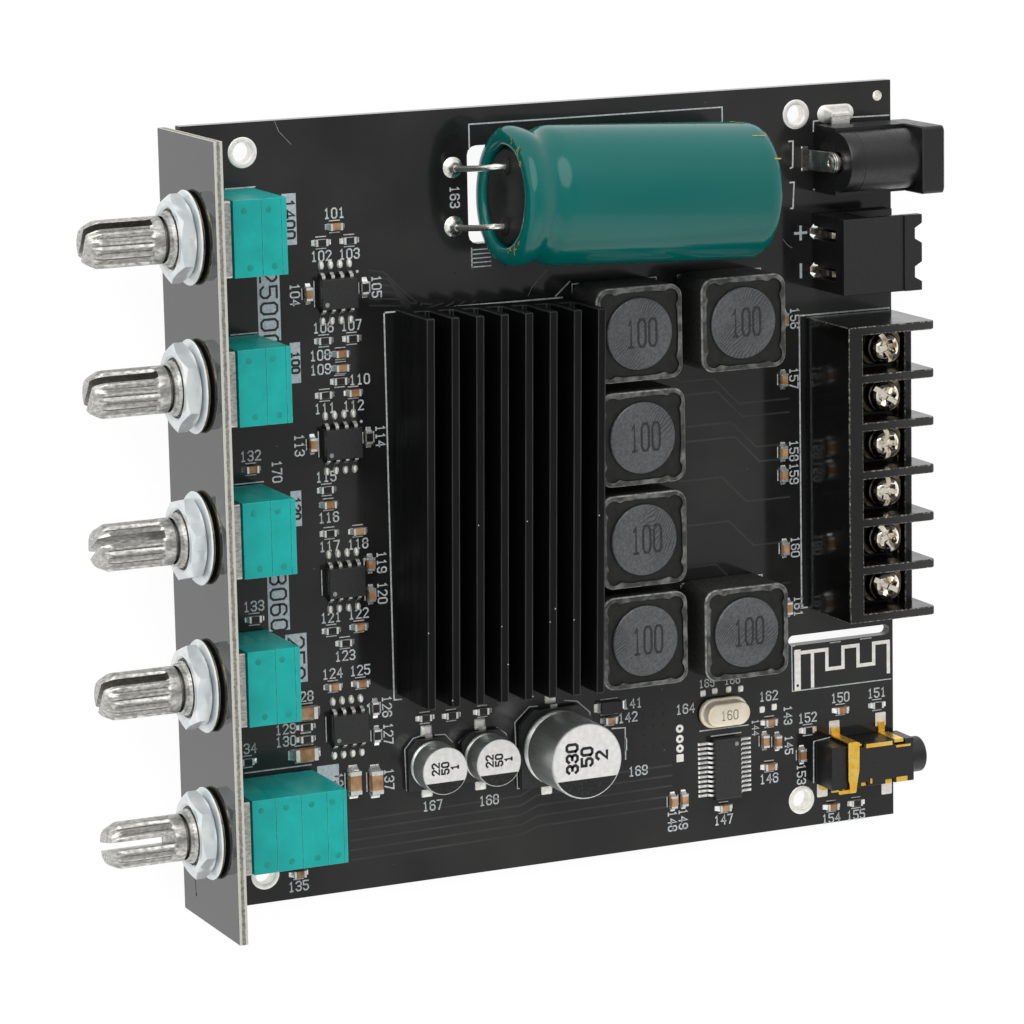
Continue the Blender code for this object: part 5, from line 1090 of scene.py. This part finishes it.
# Pad-printed black, with a few grey pinholes.
sector = finish("black_polarity_ink", 0.3, "#0e0e0f", "#3a3b3c", 0.3, low=0.5, high=0.8)
UPRIGHT = ((84.1, 31.1, 3.15, 5.4, ("22", "50", "1")), (83.95, 38.65, 3.15, 5.4, ("22", "50", "1")),
           (83.95, 48.9, 5.0, 10.2, ("330", "50", "2")))
for number, (along, back, radius, top, words) in enumerate(UPRIGHT, 1):
    spot = on_board(along, back)
    e = radius * 0.1
    low = 1.2
    upright = fresh(lathe, [
        (0, top - 0.04), (radius - 0.5 * e, top - 0.04), (radius - 0.2 * e, top - 0.12 * e),
        (radius - 0.04 * e, top - 0.4 * e), (radius, top - e), (radius, low + 3.4 * e),
        (radius - 0.3 * e, low + 3.0 * e), (radius - e, low + 2.6 * e), (radius - e, low + 1.9 * e),
        (radius - 0.3 * e, low + 1.5 * e), (radius, low + 1.1 * e), (radius - 0.1 * e, low + 0.3 * e),
        (radius - 0.6 * e, low - 0.1), (0, low - 0.1)], spot, 72)
    half = radius + 0.15
    trim = half * 0.65
    base = [(half, -half), (-trim, -half), (-half, -trim), (-half, trim), (-trim, half), (half, half)]
    prism(upright, base, 0.3, 1.1, spot, 1)
    block(upright, (-0.5, -half - 0.35, 0.05), (0.5, half + 0.35, 0.3), spot @ rotated(90, "Z"), 4)
    face = radius - 0.42 * e
    start = math.acos(0.46 * radius / face)
    for begin, sweep, steps, paint in ((start, math.tau - 2 * start, 48, 2), (-start, 2 * start, 20, 3)):
        arc = [polar(face, begin + sweep * i / steps) for i in range(steps + 1)]
        patch(upright, arc, top - 0.03, paint, spot)
    unit = 0.05 * radius
    for row, word in enumerate(words):
        for index, letter in enumerate(word):
            reading = -0.12 * radius - (index - (len(word) - 1) / 2) * 5.6 * unit
            for stroke in STROKES[letter]:
                line = [(reading - (x - 2) * unit * 0.9, (row - 1) * 0.42 * radius - (y - 3) * unit)
                        for x, y in stroke]
                ribbon(upright, line, 0.078 * radius, top - 0.015, 3, spot)
    finished(f"upright_capacitor_{number}_can", upright, [polished, epoxy, lacquer, sector, tinned],
             stands_for=[f"upright_capacitor_{number}"], closed=False, edge=40)
print("upright capacitors:", len(UPRIGHT))

# %% [markdown]
# ## Power socket
# Black glass-filled nylon with a round barrel and a square flange. The centre pin is riveted to a
# strap behind it, and a second contact comes out at the side into a long tinned slot. The bores
# are cut with booleans, because they really are left by the mould's core pins.

# %% Power socket
# Black with a soft sheen, and a grain from the glass fibres.
nylon = finish("black_glass_filled_nylon", 0.5, "#0d0d0d", "#191919", (0.42, 0.28), ior=1.53, bump=0.015)
# A warm white metal, mirror-like in spots.
nickel = finish("nickel_plated_brass", 1.6, "#d2cdc2", "#f7f4ec", (0.36, 0.22), 1.0, bump=0.015)
spot = on_board(9.6, 0)
axis = on_board(9.6, 0, 6.5) @ rotated(-90, "X")
flange = fresh(skin, [[(x, 98.2 + y, z + 5.65) for x, z in rounded(8.8 - 2 * i, 10.7 - 2 * i, 0.5, 6)]
                      for y, i in ((0.0, 0.15), (0.15, 0.0), (3.05, 0.0), (3.3, 0.25))], spot)
bed = fresh(block, (-4.4, 88.05, 0.3), (4.4, 98.25, 5.9), spot)
barrel = fresh(lathe, [(0, 98.3), (3.92, 98.3), (3.92, 90.15), (3.86, 90.1), (3.86, 90.0), (3.92, 89.95),
                       (3.92, 88.35), (3.8, 88.1), (0, 88.1)], axis, 64)
moulded = []
for work in (flange, bed, barrel):
    tools = [fresh(lathe, [(0, low), (reach, low), (reach, 103), (0, 103)], axis)
             for low, reach in ((92.0, 3.15), (87, 1.36))]
    if work is bed:
        tools.append(fresh(block, (-5.4, 89.7, 0.8), (-2.9, 92.9, 2.2), spot))
    moulded.append(carved(work, tools))
finished("power_socket_moulding", joined(moulded), [nylon], stands_for=["power_jack_housing"], bevel=0.08,
         edge=30)

strap = fresh(strip, [(87.56, 6.5), (87.56, 5.1), (87.1, 4.0), (86.75, 2.7), (86.7, 1.0), (86.7, -3.4)],
              2.6, 0.4, spot)
for profile, loop in (([(0, 87.37), (1.3, 87.37), (1.3, 87.75), (0, 87.75)], False),
                      ([(0, 86.9), (0.9, 86.95), (1.25, 87.1), (1.25, 87.4), (0, 87.4)], False),
                      ([(0.45, 86.86), (0.7, 86.8), (0.9, 86.9), (0.45, 86.95)], True),
                      ([(0, 100.5), (0.5, 100.45), (0.85, 100.2), (1.0, 99.7), (1.0, 87.3), (0, 87.3)], False)):
    lathe(strap, profile, axis, 32, loop=loop)
finished("power_socket_pin_and_strap", strap, [nickel], stands_for=["power_jack_pin"], bevel=0.06, edge=30)
side = fresh(block, (-5.85, 90.0, -3.4), (-5.45, 92.6, 1.9), spot)
block(side, (-5.65, 90.0, 1.1), (-3.2, 92.6, 1.6), spot)
finished("power_socket_side_contact", side, [solder], stands_for=["power_jack_side_contact"], bevel=0.06)
print("mouldings joined:", len(moulded))

# %% [markdown]
# ## Plug header
# Moulded in one piece with two square pins that turn down into the board in open grooves at the
# back. The raised lip has two tapered notches that key the plug.

# %% Plug header
# Tarnished tin, dark with a few bright streaks.
dull_pin = finish("dull_tinned_brass_pin", 0.9, "#4b4336", "#cfc5b0", (0.4, 0.22), 1.0, low=0.4, high=0.68)
spot = on_board(21.85, 0)
shell = carved(fresh(block, (-5, 87.8, 0.3), (5, 99.0, 8.5), spot), [
    fresh(block, low, high, spot)
    for low, high in (((-6, 91.8, 1.3), (6, 100, 7.5)), ((-6, 96.9, 7.0), (6, 100, 9.0)),
                      ((-3.34, 87.0, -1.0), (-1.74, 89.1, 6.2)), ((1.74, 87.0, -1.0), (3.34, 89.1, 6.2)))])
# With this, an outline of (back, up) points runs along X.
across = Matrix(((0, 0, 1, 0), (1, 0, 0, 0), (0, 1, 0, 0), (0, 0, 0, 1)))
lip = [(-5, 96.7), (5, 96.7), (5, 99.3)]
for x in (2.54, -2.54):
    lip += [(x + 1.3, 99.3), (x + 0.7, 98.25), (x - 0.7, 98.25), (x - 1.3, 99.3)]
header = fresh(prism, lip + [(-5, 99.3)], 7.5, 8.8, spot)
bent = [(87.97, -3.4), (88.87, -3.4), (88.87, 4.44), (98.3, 4.44), (98.3, 5.36), (88.5, 5.36), (87.97, 4.8)]
for x in (-2.54, 2.54):
    prism(header, bent, x - 0.42, x + 0.42, spot @ across, 1)
finished("plug_header_moulding", joined([shell, header]), [nylon, dull_pin], stands_for=["plug_header"],
         bevel=0.1)
print("points of the lip:", len(lip) + 1)

# %% [markdown]
# ## Terminal block
# A comb of fins parts six screw clamps. The moulding's edges are frayed pale by handling, which is a
# second finish on the bevel, and the screws have a combined slot and cross.

# %% Terminal block
# A polished mould gives nylon a wet gloss.
glossy_nylon = finish("black_nylon_from_a_polished_mould", 2.5, "#080808", "#100f0e", (0.22, 0.1), ior=1.48,
                      bump=0.012)
# Torn flash draws broken pale lines along the edges.
frayed = finish("black_nylon_frayed_at_the_edges", 0.4, "#161614", "#9a978d", 0.5, low=0.47, high=0.64,
                bump=0.05, detail=7.0)
MIDDLE, PITCH, FIN = 50.1, 6.35, 0.575      # place along the board, pitch of the clamps, half a fin
spot = on_board(MIDDLE, 0)
half = PITCH * 3
trough = [(88.6, 0.3), (98.45, 0.3), (98.45, 7.4), (97.35, 7.4), (97.35, 5.6), (88.6, 5.6)]
terminal = fresh(prism, trough, -half, half, spot @ across)


def comb(tip, height):
    """The back wall with its seven fins, seen from above, at one height."""
    ring = [(-half - FIN, 86.53), (half + FIN, 86.53)]
    for i in range(6, -1, -1):
        x = -half + PITCH * i
        ring += [] if i == 6 else [(x + FIN, 88.65)]
        ring += [(x + FIN, tip), (x - FIN, tip)]
        ring += [(x - FIN, 88.65)] if i else []
    return level(ring, height)


skin(terminal, [comb(tip, height) for tip, height in
                ((99.1, 0.3), (99.4, 0.6), (99.4, 11.2), (99.25, 11.7), (98.8, 12.0))], spot)
for i in range(6):
    x = -half + PITCH * (i + 0.5)
    block(terminal, (x - 0.6, 93.55, -3.4), (x + 0.6, 94.75, 0.4), spot, 1)
finished("terminal_block_moulding", terminal, [glossy_nylon, tinned, frayed], stands_for=["terminal_block"],
         bevel=0.15, worn=2)
print("points of the comb:", len(comb(99.1, 0.3)))

# %% Clamps and screws
# Stamped nickel plate, painted dark brown as the shade and dark reflections inside the cells.
clamp_nickel_painted_shade = finish("nickel_clamp_painted_dark_for_shade", 1.2, "#4e463b", "#8f8676", (0.2, 0.12), 1.0, bump=0.01)
# Thin nickel lets the brass through in warm patches.
brassy = finish("nickel_screw_with_brass_showing", 1.3, "#a8926e", "#fbf4e6", (0.2, 0.08), 1.0, low=0.3,
                high=0.5, bump=0.03)
SCREW_TURNS = (20, 55, 4, -4, 28, 62)
CROSS = [(0.34, 0.34), (0.34, 1.35), (-0.34, 1.35), (-0.34, 0.34), (-3.2, 0.34), (-3.2, -0.34),
         (-0.34, -0.34), (-0.34, -1.35), (0.34, -1.35), (0.34, -0.34), (3.2, -0.34), (3.2, 0.34)]
outline = rounded(4.6, 6.0, 1.6, 13)
hole = [polar(1.56, math.atan2(y, x)) for x, y in outline]
PLATE = [level(outline, 5.95), level(outline, 6.65), level([(x * 0.94, y * 0.95) for x, y in outline], 6.8),
         level([(x * 0.8, y * 0.84) for x, y in outline], 6.7), level(hole, 6.7), level(hole, 5.95)]
for number, turn in enumerate(SCREW_TURNS, 1):
    spot = on_board(MIDDLE - half + PITCH * (number - 0.5), 94.15)
    finished(f"clamp_plate_{number}_dished", fresh(skin, PLATE, spot, loop=True), [clamp_nickel_painted_shade],
             f"clamp_{number}", [f"clamp_plate_{number}"], edge=30)
    screw = fresh(lathe, [(0, 8.8), (0.7, 8.78), (1.3, 8.66), (1.7, 8.42), (1.98, 8.05), (2.1, 7.6),
                          (2.1, 7.25), (2.0, 7.12), (1.2, 7.1), (1.2, 2.4), (0.84, 2.1), (0, 2.1)], spot, 40)
    slot = fresh(prism, CROSS, 8.0, 9.6, spot @ rotated(turn, "Z"))
    pit = fresh(skin, [level(circle(r, 4), z) for r, z in ((0.5, 7.85), (1.6, 8.85), (2.6, 9.76))],
                spot @ rotated(turn + 45, "Z"))
    finished(f"terminal_screw_{number}_head", carved(screw, [slot, pit]), [brassy], f"screw_{number}",
             [f"terminal_screw_{number}"], bevel=0.07, edge=30)
print("clamps:", len(SCREW_TURNS))

# %% [markdown]
# ## Audio socket
# A low moulding with a round nose. Gilt spring contacts show in its notches, and a gilt strap runs
# over the top and ends on the pads at both sides.

# %% Audio socket
# Thin gold over bronze: a saturated yellow with pale glints.
gilt = finish("gold_flashed_bronze", 0.9, "#f9bd33", "#ffdd70", (0.36, 0.22), 0.75, bump=0.008)
spot = on_board(91.0, 0)
nose = on_board(91.0, 0, 2.65) @ rotated(-90, "X")
outline = [(-2.95, 87.45), (2.95, 87.45), (2.95, 91.9), (2.35, 91.9), (2.35, 92.9), (2.95, 92.9), (2.95, 95.6),
           (2.3, 95.6), (2.3, 96.9), (2.95, 96.9), (2.95, 99.95), (-2.95, 99.95), (-2.95, 98.6), (-2.3, 98.6),
           (-2.3, 97.0), (-2.95, 97.0), (-2.95, 92.3), (-2.5, 92.3), (-2.5, 91.5), (-2.95, 91.5)]
body = fresh(prism, outline, 0.3, 5.0, spot)
snout = fresh(lathe, [(0, 102.05), (2.2, 102.05), (2.4, 101.85), (2.4, 99.9), (0, 99.9)], nose)
moulded = [carved(work, [fresh(lathe, [(0, 91.05), (1.8, 91.05), (1.8, 104), (0, 104)], nose, 40)])
           for work in (body, snout)]
finished("audio_socket_moulding", joined(moulded), [nylon], stands_for=["audio_jack_body"], bevel=0.1,
         edge=30)
clip = fresh(prism, [(-3.4, 89.7), (-3.4, 91.4), (0.4, 91.35), (2.3, 91.0), (3.4, 90.85), (3.4, 89.95),
                     (2.2, 89.85), (1.6, 89.7)], 5.28, 5.48, spot)
for low, high in (((-3.5, 89.8, 0.3), (-3.28, 91.1, 5.4)), ((3.28, 89.95, 0.3), (3.5, 90.85, 5.4)),
                  ((-4.5, 89.8, 0.3), (-3.3, 91.1, 0.55)), ((3.3, 89.75, 0.3), (4.5, 90.9, 0.55)),
                  ((3.0, 88.4, 5.0), (3.5, 90.4, 5.28))):
    block(clip, low, high, spot)
finished("audio_socket_gilt_strap", clip, [gilt], stands_for=["audio_jack_clip"], bevel=0.05)
springs = bmesh.new()
for low, high in (((-3.0, 97.05, 0.5), (-2.5, 98.5, 4.75)), ((2.45, 95.7, 0.5), (2.9, 96.8, 4.6)),
                  ((2.45, 92.0, 0.5), (2.9, 92.8, 4.6)), ((-2.9, 91.6, 0.5), (-2.6, 92.2, 4.6)),
                  ((-2.9, 92.6, 4.98), (-2.35, 96.6, 5.12)), ((-2.2, 97.2, 4.98), (-1.9, 99.4, 5.1)),
                  ((1.9, 93.2, 4.98), (2.6, 93.5, 5.1)), ((2.2, 97.2, 4.98), (2.9, 98.9, 5.1)),
                  ((-4.4, 97.1, 0.1), (-2.9, 98.1, 0.35)), ((2.9, 98.0, 0.1), (4.3, 99.0, 0.35)),
                  ((2.9, 88.2, 0.1), (4.0, 89.2, 0.35))):
    block(springs, low, high, spot)
finished("audio_socket_contacts", springs, [gilt], bevel=0.04)
print("notches in the socket's sides:", (len(outline) - 4) // 4)

# %% [markdown]
# ## Bare metal on the board
# Rings round the mounting holes, test pads and the radio antenna are left free of solder mask and
# tinned. Everything flat is drawn a few hundredths of a millimetre above the board: first the
# covered tracks, then bare metal, then the legend.

# %% Pads, antenna and vias
bare = bmesh.new()
under = -BOARD_THICK - 0.04
for along, back, inner, outer in ((3.72, 8.1, 1.28, 1.93), (3.72, 85.45, 1.28, 1.93), (96.03, 8.1, 1.28, 1.93),
                                  (96.03, 85.45, 1.28, 1.93), (2.0, 97.55, 0.58, 0.68)):
    # A plated hole: a ring on both faces of the board and the tin that lines the hole.
    lathe(bare, [(inner, under), (inner, 0.02), (inner + 0.06, 0.06), (outer - 0.08, 0.06), (outer, 0.01)],
          on_board(along, back))
    lathe(bare, [(inner, under), (outer, under + 0.01)], on_board(along, back))
for along, back, outline, up in [
        (84.0, 67.3, circle(0.56, 24), 0.03), (85.4, 67.3, circle(0.56, 24), 0.03),
        (86.7, 67.3, circle(0.56, 24), 0.03), (88.0, 67.3, rounded(1.05, 1.05, 0.1), 0.03),
        (86.6, 90.5, rounded(1.9, 1.6, 0.15), 0.035), (86.3, 97.6, rounded(1.9, 1.6, 0.15), 0.035),
        (95.05, 88.6, rounded(1.9, 1.6, 0.15), 0.035), (95.9, 98.5, rounded(1.9, 1.6, 0.15), 0.035)]:
    patch(bare, [(along + x, back + y) for x, y in outline], up)
SMALL_DROP = rounded(0.9, 0.8, 0.2), ((1, 0.02), (0.9, 0.12), (0.5, 0.2))
WIDE_DROP = rounded(1.5, 1.6, 0.25), ((1, 0.02), (0.92, 0.16), (0.6, 0.3), (0.2, 0.34))
for (outline, layers), places in (
        (SMALL_DROP, ((79.6, 70.8), (79.5, 72.55), (79.5, 74.6), (79.6, 76.4), (82.85, 79.6), (82.7, 81.4))),
        (WIDE_DROP, ((79.9, 30.85), (79.9, 38.41), (87.95, 30.77), (87.95, 38.34), (77.6, 48.53),
                     (89.75, 47.77))),
        ((rounded(2.4, 5.4, 1.19, 10), ((1, 0.02), (0.93, 0.15), (0.7, 0.35), (0.4, 0.5))), ((3.95, 91.3),))):
    for along, back in places:
        mound(bare, outline, layers, on_board(along, back))
fillet = [level([(x * s, y * t) for x, y in rounded(1.0, 2.6, 0.3)], z)
          for s, t, z in ((2.0, 1.5, 0.3), (1.5, 1.25, 0.8), (0.9, 1.08, 1.5))]
skin(bare, fillet, on_board(3.95, 91.3), 0, (False, True))
ribbon(bare, [(75.75, 84.75), (75.75, 89.45), (78.45, 89.45), (78.45, 91.9), (75.7, 91.9), (75.7, 94.2),
              (78.5, 94.2), (78.5, 96.6), (75.7, 96.6), (75.7, 98.85), (79.85, 98.85)], 0.5, up=0.03)
ribbon(bare, [(75.75, 85.0), (80.4, 85.0)], 0.95, up=0.034)
ribbon(bare, [(75.9, 87.25), (80.5, 87.25)], 0.5, up=0.034)
finished("tinned_pads_and_antenna", bare, [bare_tin], closed=False)

VIAS = ((80.35, 62.1), (80.35, 63.55), (80.35, 64.95), (81.7, 62.1), (81.7, 63.5), (81.7, 65.0), (83.2, 60.75),
        (83.2, 62.1), (83.15, 63.5), (83.2, 65.0), (84.4, 62.1), (85.9, 62.1), (85.9, 63.5), (85.9, 65.0),
        (87.4, 62.1), (80.2, 85.0), (84.0, 67.3), (85.4, 67.3), (86.7, 67.3))
holes = bmesh.new()
for place in VIAS:
    patch(holes, circle(0.2, 10, place), 0.045)
chance = random.Random(11)
for _ in range(46):
    along, back = chance.uniform(3, 97), chance.uniform(17, 97)
    if not (22 < along < 78 and 25 < back < 80):
        patch(holes, circle(0.14, 8, (along, back)), 0.022)
finished("plated_through_vias", holes, [engraving], closed=False)
print("vias in the open:", len(VIAS))

# %% [markdown]
# ## Legend
# Long lines, corner marks and pale fields are printed with the numbers, in one pass of the screen,
# so they all go into one piece. A line is drawn as wide as it is on the board.

# %% Fields and lines of ink
# A broad film of ink shows the weave of the screen.
label_ink = finish("screened_pale_blue_grey_field", 0.4, "#9aa6ad", "#c6d0d6", 0.6, low=0.2, high=0.6)
FIELDS = ((9.2, 15.65, 13.1, 15.0, "1400"), (19.3, 27.5, 9.5, 12.5, "25000"), (27.95, 33.1, 13.6, 15.0, "100"),
          (46.8, 51.35, 13.1, 14.55, "120"), (57.1, 64.5, 9.6, 12.5, "8060"), (65.15, 71.5, 11.8, 14.7, "250"),
          (82.75, 85.3, 15.6, 18.6, ""))
for start, end, front, rear, word in FIELDS:
    patch(printing, [(start, front), (end, front), (end, rear), (start, rear)], 0.02, 1)
    write(printing, word, (start + end) / 2, (front + rear) / 2, tall=(rear - front) * 0.72, wide=0.3,
          turned=True, up=0.035, paint=2, narrow=0.95)
write(printing, "+", 19.35, 86.0, tall=2.4, wide=0.36, narrow=1.0, up=0.03, paint=1)
write(printing, "-", 24.35, 86.0, tall=2.4, wide=0.36, up=0.03, paint=1)
# The lines by their width. Each is along, back, along, back and so on.
LINES = {
    0.14: ((87.6, 28.6, 87.45, 27.9, 82.0, 27.8, 80.7, 29.0, 80.5, 30.0), (74.9, 94.6, 74.9, 96.2),
           (80.6, 32.1, 80.7, 33.5, 81.85, 34.5, 82.6, 34.65), (82.0, 35.4, 80.8, 36.7),
           (74.9, 90.0, 74.9, 91.5),
           (80.7, 40.85, 81.6, 42.1, 82.2, 42.3),
           (89.2, 44.75, 89.2, 43.6, 80.3, 43.4, 78.45, 45.5, 78.5, 46.65),
           (78.2, 50.6, 78.5, 52.4, 80.2, 54.2, 81.0, 54.3), (18.1, 38.76, 18.1, 41.4),
           (18.65, 38.76, 18.65, 41.4),
           (19.2, 38.76, 19.2, 41.4), (19.75, 38.76, 19.75, 41.4), (20.3, 38.76, 20.3, 41.4),
           (74.7, 84.6, 74.7, 84.15, 80.9, 84.2, 80.9, 99.2)),
    0.16: ((82.8, 57.4, 82.9, 59.3, 87.15, 59.3), (25.0, 67.9, 23.55, 67.9, 23.55, 80.0, 24.1, 80.0),
           (25.4, 52.7, 23.55, 52.75, 23.54, 64.8, 23.9, 64.8), (24.9, 50.4, 23.2, 52.4),
           (85.6, 72.0, 85.6, 76.4),
           (64.5, 68.0, 64.5, 79.8, 65.0, 79.8), (64.7, 67.8, 65.9, 67.8), (8.06, 5.7, 8.06, 9.6),
           (26.3, 5.8, 26.3, 9.3), (45.2, 5.7, 45.2, 9.5), (64.5, 5.65, 64.5, 9.5), (82.4, 5.75, 82.4, 14.8),
           (93.85, 87.3, 88.2, 87.35, 87.9, 89.8), (84.7, 70.3, 84.7, 77.5)),
    0.17: ((5.1, 38.76, 2.12, 38.76, 2.12, 74.66, 4.6, 74.66), (17.9, 38.76, 20.36, 38.76),
           (6.1, 88.0, 4.78, 88.05, 4.6, 93.5, 4.67, 99.3), (13.76, 88.0, 13.74, 89.65)),
    0.2: ((25.15, 26.5, 75.3, 26.5, 75.34, 27.5), (25.15, 26.5, 25.17, 51.3),
          (7.2, 84.4, 7.2, 85.0, 10.6, 84.9, 10.7, 84.6), (12.6, 84.5, 12.6, 85.1, 16.0, 84.9, 16.0, 84.6),
          (30.3, 99.2, 30.3, 85.7, 69.65, 85.7, 69.65, 86.5)),
    0.3: ((84.5, 59.4, 85.9, 59.4),),
}
for wide, lines in LINES.items():
    for line in lines:
        ribbon(printing, list(zip(line[::2], line[1::2])), wide)
finished("legend_and_label_fields", printing, [legend, label_ink, dark_ink], closed=False)
print("lines of ink:", sum(map(len, LINES.values())))

# %% [markdown]
# ## Copper under the mask
# Tracks run in bundles with 45 degree bends. They sit a hair above the board and use the lighter
# mask-over-copper finish, so they only show where the light grazes them.

# %% Covered tracks and scratches
tracks = bmesh.new()
for along, bend in ((37.6, 73.0), (39.4, 73.5), (43.6, 75.5), (45.6, 76.0), (50.8, 74.0), (56.8, 75.0),
                    (62.4, 73.0)):
    ribbon(tracks, [(along - 1.4, 66.6), (along, 68.0), (along, bend), (along + 3.6, bend + 3.6),
                    (along + 3.6, 84.0)], 0.24, 0.012)
for step in range(6):
    ribbon(tracks, [(19.6 + 0.9 * step, 24.6), (20.0 + 0.9 * step, 26.6 + 0.5 * step),
                    (23.0 + 1.2 * step, 29.6 + 0.5 * step), (24.6, 31.6 + 1.5 * step)], 0.2, 0.012)
for step in range(5):
    ribbon(tracks, [(90.5 + 1.3 * step, 20.0), (90.2 + 1.3 * step, 44.0), (89.0 + 1.4 * step, 46.5),
                    (88.8 + 1.4 * step, 66.0)], 0.26, 0.012)
finished("masked_copper_tracks", tracks, [covered_copper], closed=False)

scratches = bmesh.new()
for line in ([(0.1, 12.5), (1.4, 13.0), (3.1, 14.6)], [(21.4, 49.25), (23.5, 47.1), (24.6, 46.5)],
             [(20.0, 83.4), (20.75, 84.0), (21.2, 84.7)]):
    ribbon(scratches, line, 0.06, 0.015)
finished("fine_scratches", scratches, [dull_legend], closed=False)
